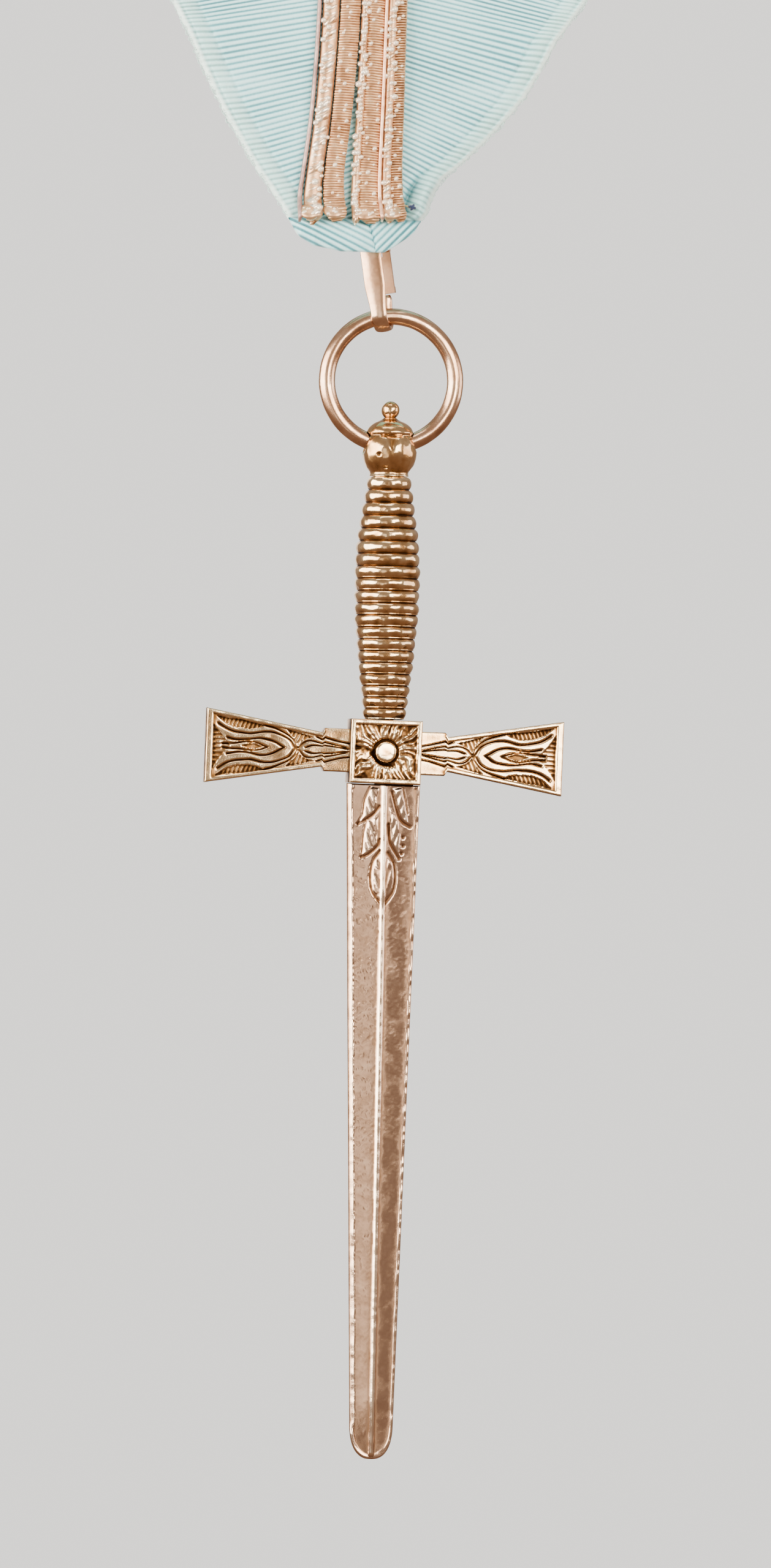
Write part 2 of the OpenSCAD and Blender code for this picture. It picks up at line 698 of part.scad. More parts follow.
// Outline of the blade drawn as [x, z], drawn in by d all round: straight tapers and a rounded point.
module blade_outline(d = 0) {
    start = blade_l - point_l;
    half = blade_half(start) - d;
    polygon(concat([[-blade_half(0) + d, blade_top], [blade_half(0) - d, blade_top]],
                   [for (i = [0 : 10]) let (turn = i * 18)
                       [half * cos(turn), blade_top - start - (point_l - d) * sin(turn)]]));
}

// Side view of the ridge, drawn as [y, z].
module ridge_outline() {
    start = blade_l - point_l;
    top = face_peak(0) + ridge_h;
    low = face_peak(start) + ridge_h;
    polygon([[-top, blade_top], [top, blade_top], [low, blade_top - start], [blade_tip_t / 2, blade_top - blade_l],
             [-blade_tip_t / 2, blade_top - blade_l], [-low, blade_top - start]]);
}

// Extrudes a side view of the blade, drawn as [y, z], to the width w.
module across_blade(w) {
    rotate([90, 0, 90]) linear_extrude(w, center = true) children();
}

// The four flat faces.
module blade_wedge() {
    tube([for (l = [0, blade_l])
        let (a = blade_half(l), e = face_edge, p = face_peak(l))
        [for (q = [[a, -e], [0, -p], [-a, -e], [-a, e], [0, p], [a, e]]) [q[0], q[1], blade_top - l]]]);
}

// Raised leaf on a sloping face of the blade.
module blade_leaf(rows, side) {
    sunk = 0.35;
    rotate([0, 0, side * face_slope]) on_front(-face_peak(0) + sunk, sunk + relief * 0.7)
        polygon([for (p = rows) [side * p[0] * blade_w / 2, blade_top - p[1] * leaves_l]]);
}

module blade() {
    color(cast_metal) at_dagger() {
        intersection() {
            on_front(blade_t, 2 * blade_t) blade_outline();
            across_blade(2 * blade_w) ridge_outline();
            union() {
                blade_wedge();
                across_blade(ridge_w) ridge_outline();
                on_front(blade_edge_t / 2, blade_edge_t) difference() {
                    blade_outline();
                    blade_outline(rim_w);
                }
            }
        }
        for (face = [0, 1], side = [-1, 1]) mirror([0, face, 0]) {
            blade_leaf(leaf_outer, side);
            blade_leaf(leaf_inner, side);
            blade_leaf(leaf_lens, side);
        }
        translate([0, 0, blade_top - 1]) cylinder(d = tang_d, h = 1 - blade_top - pommel_low + tang_in);
    }
}

left_band();
right_band();
point_hem();
left_braid();
right_braid();
spring_hook();
hook_gate();
hanging_ring();
pommel();
grip();
cross_guard();
blade();
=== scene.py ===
# %% [markdown]
# # A collar jewel, dressed around its imported model
# The imported model is the fixed frame: a ribbon collar, two braids, a hook, a ring and a cast dagger.
# This lesson gives each piece the surface that the real one has. Positions come from the frame and from
# the collar's flat pattern. Engraved lines, wear and colours were drawn after the photograph.

# %% Load the frame and keep its box
import json
import math
from functools import partial
from itertools import product

import bpy
import numpy as np
from mathutils import Matrix, Vector


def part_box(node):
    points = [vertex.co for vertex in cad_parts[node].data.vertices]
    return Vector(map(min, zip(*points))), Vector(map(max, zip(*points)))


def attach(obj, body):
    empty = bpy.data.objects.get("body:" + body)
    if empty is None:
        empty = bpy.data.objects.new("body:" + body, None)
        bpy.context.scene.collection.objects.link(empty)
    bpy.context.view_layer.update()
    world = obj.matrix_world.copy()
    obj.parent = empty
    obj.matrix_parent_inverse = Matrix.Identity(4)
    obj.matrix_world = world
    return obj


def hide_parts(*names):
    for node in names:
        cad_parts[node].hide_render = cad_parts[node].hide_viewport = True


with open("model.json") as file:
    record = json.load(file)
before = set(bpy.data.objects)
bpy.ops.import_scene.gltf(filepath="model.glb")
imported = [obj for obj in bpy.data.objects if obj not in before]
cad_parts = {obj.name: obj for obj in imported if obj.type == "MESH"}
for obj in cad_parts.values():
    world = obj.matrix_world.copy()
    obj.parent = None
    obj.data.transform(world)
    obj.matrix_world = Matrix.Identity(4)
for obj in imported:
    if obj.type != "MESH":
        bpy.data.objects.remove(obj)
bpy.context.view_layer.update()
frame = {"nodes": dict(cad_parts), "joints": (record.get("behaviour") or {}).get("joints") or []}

MM = 0.001
print("CAD nodes:", sorted(frame["nodes"]))

# %% [markdown]
# ## Colour and nodes
# Colours are read off as sRGB hex values, but a shader works in linear light, so one function converts
# them. One more adds a node of any kind with its settings and links, and hands back one of its outputs.

# %% Colour and node helpers
MATH, VECTOR_MATH, RANGE, MIX, RAMP, NOISE, BUMP = (
    f"ShaderNode{kind}" for kind in ("Math", "VectorMath", "MapRange", "Mix", "ValToRGB", "TexNoise", "Bump"))


def linear(hex_colour):
    """Linear RGBA of an sRGB hex colour."""
    parts = [int(hex_colour[i:i + 2], 16) / 255 for i in (1, 3, 5)]
    return (*(c / 12.92 if c <= 0.04045 else ((c + 0.055) / 1.055) ** 2.4 for c in parts), 1)


def add_node(tree, kind, *values, inputs=None, out=0, stops=(), **settings):
    """Adds a node: values fill its inputs in order, inputs go by name or number, stops fill a ramp."""
    node = tree.nodes.new(kind)
    for key, value in settings.items():
        setattr(node, key, value)
    for key, value in [*enumerate(values), *(inputs or {}).items()]:
        if isinstance(value, bpy.types.NodeSocket):
            tree.links.new(value, node.inputs[key])
        else:
            node.inputs[key].default_value = value
    elements = node.color_ramp.elements if stops else ()
    while len(elements) < len(stops):
        elements.new(0.5)
    for element, (position, colour) in zip(elements, stops):
        element.position = position
        element.color = linear(colour)
    return node.outputs[out] if len(node.outputs) else None


def new_material(name):
    """An empty material, and add_node for its tree."""
    material = bpy.data.materials.new(name)
    material.use_nodes = True
    material.node_tree.nodes.clear()
    return material, partial(add_node, material.node_tree)


def finished(material, add, inputs):
    """The material, ended with a shader that has these inputs."""
    add("ShaderNodeOutputMaterial", add("ShaderNodeBsdfPrincipled", inputs=inputs))
    return material


def speckled(add, *grains):
    """A piece's own coordinates, and soft noise for each grain: [size of its blobs in mm, detail]."""
    coords = add("ShaderNodeTexCoord", out="Object")
    return coords, *(add(NOISE, inputs={"Vector": coords, "Scale": 1 / (size * MM), "Detail": detail,
                                        "Roughness": 0.55}) for size, detail in grains)


# %% [markdown]
# ## Numbers for surfaces
# Cast relief and cloth are made as grids of points. numpy works out all the points at once, and these
# few functions give distances to drawn lines, filled shapes, and repeatable noise, all in millimetres.

# %% Helpers on arrays of points
LATTICE_TURN = np.array(Matrix.Rotation(0.65, 3, "X") @ Matrix.Rotation(0.6, 3, "Y")
                        @ Matrix.Rotation(0.5, 3, "Z"))


def unit(values):
    """Values held between 0 and 1."""
    return np.clip(values, 0, 1)


def bell(values, middle, width):
    """1 at the middle, fading out to both sides at about its width."""
    return np.exp(-((values - middle) / width) ** 2)


def wave(turns):
    """1 at every whole turn and 0 halfway between."""
    return 0.5 + 0.5 * np.cos(2 * math.pi * turns)


def circle(count):
    """Angles evenly round a circle."""
    return np.linspace(0, 2 * math.pi, count, endpoint=False)


def unit_vectors(vectors):
    return vectors / np.linalg.norm(vectors, axis=1)[:, None]


def lattice_noise(points, size, seed):
    """Repeatable soft noise from -1 to 1 at points (..., 3), with blobs about size across."""
    p = np.asarray(points, float) @ LATTICE_TURN / size
    cell = np.floor(p).astype(np.int64)
    f = p - cell
    f = f * f * (3 - 2 * f)
    total = np.zeros(p.shape[:-1])
    for dx, dy, dz in product((0, 1), repeat=3):
        # large primes scramble the cell's whole numbers into a value of its own
        key = (cell[..., 0] + dx) * 73856093 ^ (cell[..., 1] + dy) * 19349663
        key = (key ^ (cell[..., 2] + dz) * 83492791) + seed * 7919
        key = (key ^ (key >> 13)) * 1274126177 & 0x7FFFFFFF
        value = (key ^ (key >> 16)) % 65536 / 32767.5 - 1
        weight = (f[..., 0] if dx else 1 - f[..., 0]) * (f[..., 1] if dy else 1 - f[..., 1])
        total += value * weight * (f[..., 2] if dz else 1 - f[..., 2])
    return total


def smooth_line(points, steps=8):
    """A smooth curve through given points."""
    p = np.array(points, float)
    ends = np.vstack([2 * p[0] - p[1], p, 2 * p[-1] - p[-2]])
    rows = []
    for a, b, c, d in zip(ends[:-3], ends[1:-2], ends[2:-1], ends[3:]):
        for t in np.arange(steps) / steps:
            rows.append(0.5 * (2 * b + (c - a) * t + (2 * a - 5 * b + 4 * c - d) * t * t
                               + (3 * b - 3 * c + d - a) * t ** 3))
    return np.array([*rows, p[-1]])


def distance_to(line, x, z):
    """Distance from each (x, z) to a polyline."""
    best = np.full(np.shape(x), np.inf)
    for (ax, az), (bx, bz) in zip(line[:-1], line[1:]):
        ux, uz = bx - ax, bz - az
        t = unit(((x - ax) * ux + (z - az) * uz) / max(ux * ux + uz * uz, 1e-12))
        best = np.minimum(best, np.hypot(x - ax - t * ux, z - az - t * uz))
    return best


def inside(polygon, x, z):
    """True for each (x, z) inside a closed outline."""
    hit = np.zeros(np.shape(x), bool)
    for (ax, az), (bx, bz) in zip(polygon, np.roll(polygon, -1, axis=0)):
        slope = (bx - ax) / (bz - az) if bz != az else 0.0
        hit ^= ((az > z) != (bz > z)) & (x < ax + (z - az) * slope)
    return hit


def pillow(outline, x, z, rim):
    """0 outside a shape, rising to 1 at the depth rim inside it."""
    rise = unit(distance_to(np.vstack([outline, outline[:1]]), x, z) / rim)
    return np.where(inside(outline, x, z), np.sqrt(1 - (1 - rise) ** 2), 0)


def cut_line(points, x, z, width):
    """1 on a drawn line, fading to 0 at about its width."""
    return bell(distance_to(smooth_line(points), x, z), 0, width / 2)


def blurred(grid, rounds):
    """The grid smoothed with its neighbours a number of times."""
    for _ in range(rounds):
        p = np.pad(grid, 1, mode="edge")
        grid = (p[1:-1, 1:-1] * 4 + p[:-2, 1:-1] + p[2:, 1:-1] + p[1:-1, :-2] + p[1:-1, 2:]) / 8
    return grid


# %% [markdown]
# ## Making meshes from grids
# Most pieces are grids that close on themselves: a lathe-turned grip closes round its axis, a cloth
# band closes round its thickness. One function makes such a mesh, stores numbers such as how deep a
# point lies in a hollow, and smooths its shading.

# %% Mesh helpers


def in_scene(name, data):
    """An object that holds this data, put in the scene."""
    thing = bpy.data.objects.new(name, data)
    bpy.context.scene.collection.objects.link(thing)
    return thing


def make_piece(name, points, faces, material, numbers=None, sharp_deg=None):
    """A mesh object from points in mm, with named numbers stored on its points."""
    mesh = bpy.data.meshes.new(name)
    mesh.from_pydata((np.asarray(points) * MM).tolist(), [], [list(map(int, f)) for f in faces])
    mesh.update()
    for key, values in (numbers or {}).items():
        stored = mesh.attributes.new(key, "FLOAT", "POINT")
        stored.data.foreach_set("value", np.ravel(values).astype(np.float32))
    mesh.shade_smooth()
    if sharp_deg:
        mesh.set_sharp_from_angle(angle=math.radians(sharp_deg))
    mesh.materials.append(material)
    return in_scene(name, mesh)


def grid_faces(rows, columns, wrap=False, flip=False):
    """Quads of a grid of rows by columns, closed round its columns if wrap is set."""
    i, j = np.meshgrid(np.arange(rows - 1), np.arange(columns if wrap else columns - 1), indexing="ij")
    k = (j + 1) % columns
    quads = np.stack([i * columns + j, i * columns + k, (i + 1) * columns + k, (i + 1) * columns + j], -1)
    quads = quads.reshape(-1, 4)
    return quads[:, ::-1] if flip else quads


def loft(sections, flip=False):
    """Points and faces of a closed solid through rings of points, with flat ends."""
    rings, sides = sections.shape[:2]
    quads = grid_faces(rings, sides, wrap=True, flip=flip).tolist()
    first = list(range(sides))
    last = [(rings - 1) * sides + k for k in range(sides)]
    quads += [first, last[::-1]] if flip else [first[::-1], last]
    return sections.reshape(-1, 3), quads


def join(name, pieces):
    """Several pieces fused into one object."""
    bpy.ops.object.select_all(action="DESELECT")
    for piece in pieces:
        piece.select_set(True)
    bpy.context.view_layer.objects.active = pieces[0]
    bpy.ops.object.join()
    pieces[0].name = pieces[0].data.name = name
    return pieces[0]


def dress(piece, body, slot, *nodes):
    """Rides a piece on its body and hides the CAD nodes that it stands for; slot, which would name its
    finish, is not used.
    """
    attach(piece, body)
    if nodes:
        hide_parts(*nodes)
    triangles = sum(len(p.vertices) - 2 for p in piece.data.polygons)
    print(f"{piece.name}: {triangles} triangles on {body}")
    return piece


# %% [markdown]
# ## Camera
# The photograph looks at the jewel from about 6 degrees to its left, level with the guard, and its
# camera is rolled by about one degree. The picture is 155.8 mm high at the jewel.

# %% Camera
VIEW_YAW = math.radians(6)
VIEW_ROLL = math.radians(1.1)
VIEW_DISTANCE = 700
VIEW_HEIGHT = 155.8
VIEW_SIDE = 0.22
VIEW_DROP = 40.05
SENSOR = 24

ring_low, ring_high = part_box("hanging_ring")
RING_CENTRE = np.array((ring_low + ring_high) / 2) / MM
joints = {j["name"]: j for j in frame["joints"]}
BORE = np.array(joints["dagger_swing"]["pos_m"]) / MM


def place_camera():
    target = Vector(RING_CENTRE + [VIEW_SIDE, 0, -VIEW_DROP]) * MM
    towards = Vector((math.sin(VIEW_YAW), math.cos(VIEW_YAW), 0))
    data = bpy.data.cameras.new("camera")
    data.sensor_fit = "VERTICAL"
    data.sensor_height = SENSOR
    data.lens = SENSOR * VIEW_DISTANCE / VIEW_HEIGHT
    data.clip_start = 0.01
    camera = in_scene("camera", data)
    turn = towards.to_track_quat("-Z", "Y").to_matrix() @ Matrix.Rotation(VIEW_ROLL, 3, "Z")
    camera.matrix_world = Matrix.Translation(target - towards * VIEW_DISTANCE * MM) @ turn.to_4x4()
    bpy.context.scene.camera = camera


place_camera()

# %% [markdown]
# ## The collar's flat pattern
# A collar is cut flat and then draped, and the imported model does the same: a point (x, s) of the
# pattern is bent over the shoulders. These are the model's own sizes, so that the cloth and the braids
# made here lie exactly where their solids lie.

# %% Sizes of the collar, in mm and degrees
RIBBON_W = 102
CLOTH_T = 1.2
POINT_ANGLE = math.radians(28)
NAPE_ANGLE = math.radians(50)
NECK_HALF = 75
SHOULDER_R = 75
SHOULDER_FALL = math.radians(16)
NOTCH_DROP = 5
NAPE_TRIM = 4
POINT_CUT = 14
POINT_H = 25
HEM_H = 3.1
HEM_T = 1.5
EDGE_ROLL = 1.4
BRAID_W = 4.3
BRAID_T = 1.3
BRAID_END_H = 2.7
CLOTH_GAP = 0.05

NOTCH_S = RIBBON_W / math.sin(POINT_ANGLE)
INNER_CORNER = np.array([NECK_HALF, NOTCH_S + NECK_HALF / math.tan(POINT_ANGLE)])
MITRE_TILT = (NAPE_ANGLE - POINT_ANGLE) / 2
MITRE_L = RIBBON_W / math.cos((NAPE_ANGLE + POINT_ANGLE) / 2)
OUTER_CORNER = INNER_CORNER + MITRE_L * np.array([math.cos(MITRE_TILT), math.sin(MITRE_TILT)])
NAPE_IN_S = INNER_CORNER[1] + NECK_HALF / math.tan(NAPE_ANGLE)
NAPE_OUT_S = OUTER_CORNER[1] + OUTER_CORNER[0] / math.tan(NAPE_ANGLE) - NAPE_TRIM
BEND_LO = NOTCH_S + NOTCH_DROP
BEND_HI = BEND_LO + math.pi * SHOULDER_R
POINT_HALF = (POINT_CUT + POINT_H) * math.tan(POINT_ANGLE)

# Outline of the shaped point: [height, left edge, right edge, roll of the right edge], as shares
POINT_ROWS = np.array([
    [0.00, 0.150, 0.056, 0.0], [0.02, 0.280, 0.100, 0.1], [0.05, 0.345, 0.155, 0.2],
    [0.08, 0.375, 0.200, 0.3], [0.11, 0.395, 0.222, 0.5], [0.16, 0.430, 0.272, 0.8],
    [0.20, 0.465, 0.285, 1.0], [0.25, 0.505, 0.310, 1.0], [0.30, 0.550, 0.345, 0.8],
    [0.37, 0.605, 0.448, 0.7], [0.49, 0.690, 0.590, 0.6], [0.61, 0.770, 0.713, 0.4],
    [0.73, 0.838, 0.800, 0.2], [0.85, 0.905, 0.870, 0.1], [1.00, 1.000, 1.000, 0.0]])


def draped(x, s, d):
    """Place in space of the pattern point (x, s), raised by d from the inner face of the cloth."""
    x, s, d = np.broadcast_arrays(*(np.asarray(v, float) for v in (x, s, d)))
    bend = np.clip((s - BEND_LO) / SHOULDER_R, 0, math.pi)
    r = SHOULDER_R + d
    fall = np.maximum(0, np.abs(x) - NECK_HALF * 0.7) * math.tan(SHOULDER_FALL) * np.sin(bend) ** 2
    z = r * np.sin(bend) + np.minimum(0, s - BEND_LO) - np.maximum(0, s - BEND_HI) - fall
    return np.stack([x, -r * np.cos(bend), z], -1)


NAPE_SEAT = draped(0, NAPE_IN_S, 0)


def on_collar(x, s, d):
    """The same, with the nape's inner edge at the origin."""
    return draped(x, s, d) - NAPE_SEAT


def inner_edge(s):
    front = np.where(s < NOTCH_S, 0, (s - NOTCH_S) * math.tan(POINT_ANGLE))
    back = NECK_HALF - (s - INNER_CORNER[1]) * math.tan(NAPE_ANGLE)
    return np.maximum(CLOTH_GAP, np.where(s < INNER_CORNER[1], front, back))


def point_row(s, column):
    """A column of POINT_ROWS at pattern height s."""
    return np.interp((s - POINT_CUT) / POINT_H, POINT_ROWS[:, 0], POINT_ROWS[:, column])


def outer_edge(s, side):
    back = OUTER_CORNER[0] - (s - OUTER_CORNER[1]) * math.tan(NAPE_ANGLE)
    straight = np.where(s < OUTER_CORNER[1], s * math.tan(POINT_ANGLE), back)
    return np.where(s < POINT_CUT + POINT_H, POINT_HALF * point_row(s, 1 if side < 0 else 2), straight)


def roll_at(s, t):
    """How far the right edge rolls back, t across the band."""
    return EDGE_ROLL * point_row(s, 3) * t ** 3


print(f"front seam {NOTCH_S:.0f} mm, fold at z {on_collar(0, POINT_CUT, 0)[2]:.1f} mm")

# %% [markdown]
# ## Moire silk
# The collar is moire ribbon: a silk with round cross ribs that was pressed, so that patches of ribs are
# flattened and reflect differently. Near the point each rib is real geometry. Further up the ribs are
# bump, drawn from the same rib number that each point carries. Silk has a soft sheen and no metal.

# %% Moire silk material
RIB_PITCH = 0.5
# The watered figure: longer across the band than along it, in mm
FIGURE_L = 15.0
FIGURE_H = 3.5


def moire_silk():
    """Woven silk: rib crests painted light and grooves painted as teal shade, and a broad soft sheen that
    hides the single threads.
    """
    material, add = new_material("moire silk")
    front, back, mitre, edge, hollow, carved = (
        add("ShaderNodeAttribute", attribute_name=name, out="Fac")
        for name in ("rib", "rib_back", "mitre", "edge", "shade", "carved"))
    behind = add(MATH, mitre, 0.0, operation="GREATER_THAN")
    rib = add(MIX, inputs={0: behind, 2: front, 3: back})
    turn = add(MATH, rib, 2 * math.pi, operation="MULTIPLY")
    crest = add(RANGE, add(MATH, turn, operation="COSINE"), -1, 1, 0, 1)
    across = add(MATH, edge, FIGURE_L, operation="DIVIDE")
    along = add(MATH, rib, RIB_PITCH / FIGURE_H, operation="MULTIPLY")
    figure = add("ShaderNodeCombineXYZ", across, along)
    patches = add(NOISE, inputs={"Vector": figure, "Scale": 1.0, "Detail": 2, "Roughness": 0.55})
    pressed = add(RANGE, patches, 0.36, 0.64, 0.55, 1.0)
    # painted shade: the grooves between the ribs are darkened by their place on the rib and the crests are
    # left light, less so in the pressed patches
    valley = add(MATH, add(MATH, 1.0, crest, operation="SUBTRACT"), 1.5, operation="POWER")
    shade = add(MATH, valley, pressed, operation="MULTIPLY")
    _, thread = speckled(add, (0.22, 2))
    tone = add(MATH, shade, 0.72, add(MATH, thread, 0.22, operation="MULTIPLY"), operation="MULTIPLY_ADD")
    colour = add(RAMP, tone, stops=[(0.0, "#d4fbff"), (0.26, "#ace9f1"), (0.6, "#569fab"), (1.0, "#235862")])
    # the turned edge is greener and its cord shows nearly white; the shade number paints deep teal shade into
    # creases and under the braids' ends
    turned = add(RANGE, edge, 1.4, 2.6, 0.35, 0.0)
    corded = add(RANGE, edge, 0.25, 0.6, 0.8, 0.0)
    for share, tint in ((turned, "#bfe8d8"), (corded, "#eafff8"), (hollow, "#1f6a75")):
        colour = add(MIX, inputs={0: share, 6: colour, 7: linear(tint)}, out=2, data_type="RGBA")
    uncarved = add(MATH, 1.0, carved, operation="SUBTRACT")
    raised = add(MATH, add(MATH, crest, uncarved, operation="MULTIPLY"), pressed, operation="MULTIPLY")
    ribs = add(BUMP, inputs={"Height": raised, "Distance": 0.16 * MM})
    fibres = add(BUMP, inputs={"Height": thread, "Distance": 0.04 * MM, "Normal": ribs})
    return finished(material, add, {
        "Base Color": colour, "Roughness": 0.46, "Specular IOR Level": 0.5, "Normal": fibres,
        "Sheen Weight": 0.35, "Sheen Roughness": 0.4, "Sheen Tint": linear("#dff0f2")})


SILK = moire_silk()

# %% [markdown]
# ## The two bands
# Each half of the collar is one closed shell. Across the band it has even columns and then narrow
# ones beside the outer edge, where the silk is turned over a cord and stitched. Along the band the
# rows are 0.08 mm apart where the photograph shows the ribs, and further apart above.

# %% Bands
RIB_ROWS = 0.08
FAR_ROWS = 2.5
RIBBED_TO = POINT_CUT + POINT_H + 5
RIB_DEPTH = 0.15
EDGE_STRIP = 2.6
EDGE_ROUND = 0.6
STITCH_AT = 2.2
STITCH_PITCH = 1.3
LOBE_TOP = 8.3
LOBE_CREASE = 2.3
EVEN_COLUMNS = 60
# Columns of the strip beside the outer edge, as shares of its width
EDGE_COLUMNS = np.array([
    0, 0.05, 0.1, 0.14, 0.18, 0.23, 0.3, 0.38, 0.46, 0.54, 0.62, 0.68, 0.72, 0.76, 0.8, 0.85, 0.9, 0.95,
    0.985, 1])
# Slope of the ribs above the point: [height above the fold, slope of the left band, slope of the right band]
RIB_SLOPES = np.array([
    [0, 0.55, 0.85], [5, 0.48, 0.72], [12, 0.33, 0.42], [25, 0.18, 0.20], [60, 0.53, 0.53]])


def rib_number(x, s, side):
    """Which rib a point of the front lies on: the ribs fan out at the point and run square above it."""
    h = s - POINT_CUT
    reach = np.minimum(np.abs(x), 60)
    level = h + reach * 0.4
    for _ in range(12):
        level = h + reach * np.interp(level, RIB_SLOPES[:, 0], RIB_SLOPES[:, 1 if side < 0 else 2])
    return (level + (np.abs(x) - reach) * math.tan(POINT_ANGLE)) / RIB_PITCH


def band_levels():
    keys = sorted([
        RIBBED_TO, NOTCH_S, BEND_LO, INNER_CORNER[1], OUTER_CORNER[1], NAPE_IN_S, BEND_HI, NAPE_OUT_S])
    rows = [np.arange(POINT_CUT, RIBBED_TO, RIB_ROWS)]
    for a, b in zip(keys[:-1], keys[1:]):
        rows.append(np.linspace(a, b, max(2, round((b - a) / FAR_ROWS)), endpoint=False))
    return np.concatenate(rows + [[NAPE_OUT_S]])


def lobe_reach(s, side):
    """1 along the fat roll at the foot of the right edge, fading to 0 at its ends."""
    h = s - POINT_CUT
    return (side > 0) * unit((LOBE_TOP - h) / 2.0) * unit((h - HEM_H + 0.5) / 0.9)


def edge_work(gap, s, side, at):
    """Relief of a band's turned edge, in mm: the stitched groove, the cord and its fold, the lobe."""
    groove = -0.2 * (0.2 + 0.8 * wave(s / STITCH_PITCH)) * bell(gap, STITCH_AT, 0.16)
    ridge = 0.12 * bell(gap, 1.3, 0.5)
    broken = unit(0.6 + 1.2 * lattice_noise(at, 1.5, 32))
    fold = -0.2 * broken * bell(gap, 0.68, 0.1)
    frayed = 0.07 * lattice_noise(at, 0.35, 31) * unit(1 - gap / 0.5)
    lump = 1.35 * bell(gap, 0.85, 0.75) - 0.45 * bell(gap, LOBE_CREASE, 0.32)
    rough = 0.16 * lattice_noise(at, 0.8, 33) * unit(1 - gap / 2)
    return groove + ridge + fold + frayed + lobe_reach(s, side) * (lump + rough)


def quarter_round(share):
    """0 at the very edge, rising to 1 along a quarter circle."""
    return np.sqrt(unit(1 - unit(1 - share) ** 2))


def make_band(name, side):
    s = band_levels()[:, None]
    inner, outer = inner_edge(s), outer_edge(s, side)
    strip = np.minimum(EDGE_STRIP / math.cos(POINT_ANGLE), 0.45 * (outer - inner))
    even = np.linspace(0, 1, EVEN_COLUMNS)[None, :-1]
    x = np.hstack([inner + (outer - strip - inner) * even, outer - strip * (1 - EDGE_COLUMNS[None])])
    t = (x - inner) / np.maximum(outer - inner, 1e-9)
    s = np.broadcast_to(s, x.shape)
    gap = (outer - x) * math.cos(POINT_ANGLE)
    flat = on_collar(side * x, s, 0)
    turned = np.clip(STITCH_AT - gap, 0, None) * unit((s - POINT_CUT) / 4)
    rib = rib_number(x, s, side) - turned * 0.12 / RIB_PITCH
    lobe = lobe_reach(s, side)
    carved = unit((RIBBED_TO - s) / 4)
    press = 0.45 + 0.55 * unit(0.5 + 1.6 * lattice_noise(flat, 7, 3))
    soft = unit((gap - 0.5) / 0.4) * (1 - 0.8 * lobe * (gap < LOBE_CREASE))
    height = RIB_DEPTH * press * carved * soft * (wave(rib) ** 0.55 - 1)
    wobble = 0.12 * lattice_noise(flat, 5, 8) * unit((s - POINT_CUT) / 6)
    rounding = np.minimum(quarter_round(gap / EDGE_ROUND), 0.4 + 0.6 * quarter_round((x - inner) / 0.3))
    back_roll = roll_at(s, t) if side > 0 else 0
    relief = height + edge_work(gap, s, side, flat) * carved
    front_d = CLOTH_T / 2 + (CLOTH_T / 2 + relief) * rounding - back_roll + wobble
    back_d = CLOTH_T / 2 - CLOTH_T / 2 * rounding - back_roll + wobble
    ragged = side * 0.09 * carved * lattice_noise(flat, 0.4, 35) * unit(1 - gap / 0.6)
    mitre = (x - INNER_CORNER[0]) * math.sin(MITRE_TILT) - (s - INNER_CORNER[1]) * math.cos(MITRE_TILT)
    # shade is painted shade: deep teal in the crease beside the lobe, and a little over the whole lobe
    numbers = {
        "rib": rib, "rib_back": (s * math.cos(NAPE_ANGLE) - x * math.sin(NAPE_ANGLE)) / RIB_PITCH,
        "mitre": -mitre, "edge": gap, "carved": carved,
        "shade": lobe * (0.75 * bell(gap, LOBE_CREASE, 0.3) + 0.16 * (gap < 2.2)) + 0 * x}
    numbers = {key: np.concatenate([v, v[:, ::-1]], axis=1) for key, v in numbers.items()}
    front, back = (on_collar(side * x + ragged, s, d) for d in (front_d, back_d))
    points, faces = loft(np.concatenate([front, back[:, ::-1]], axis=1), flip=side > 0)
    return make_piece(name, points, faces, SILK, numbers)


for band, side in (("left", -1), ("right", 1)):
    dress(make_band(f"{band}_ribbon", side), "collar", "ribbon", f"{band}_band")

# %% [markdown]
# ## The turned-up point
# The point of the collar is folded up to the front and sewn, which leaves a fat roll with slanting
# ribs and a seam in its middle. It is lofted across, from the left end of the roll to the right one,
# and each section is a flattened loop that thins out towards both ends.

# %% Hem
HEM_STEP = 0.06
HEM_SIDES = 72
# The seam's upper and lower end: [x, height above the fold]
HEM_SEAM = ((-0.54, 3.0), (0.24, 0.2))
HEM_RIB_PITCH = 0.56
# Slant of the ribs left and right of the seam, in radians
HEM_SLANTS = (0.44, 0.8)


def fold_height(x):
    """Height of the collar's lower outline at x."""
    across = POINT_HALF * np.concatenate([-POINT_ROWS[::-1, 1], POINT_ROWS[:, 2]])
    heights = POINT_H * np.concatenate([POINT_ROWS[::-1, 0], POINT_ROWS[:, 0]])
    return np.interp(x, across, heights)


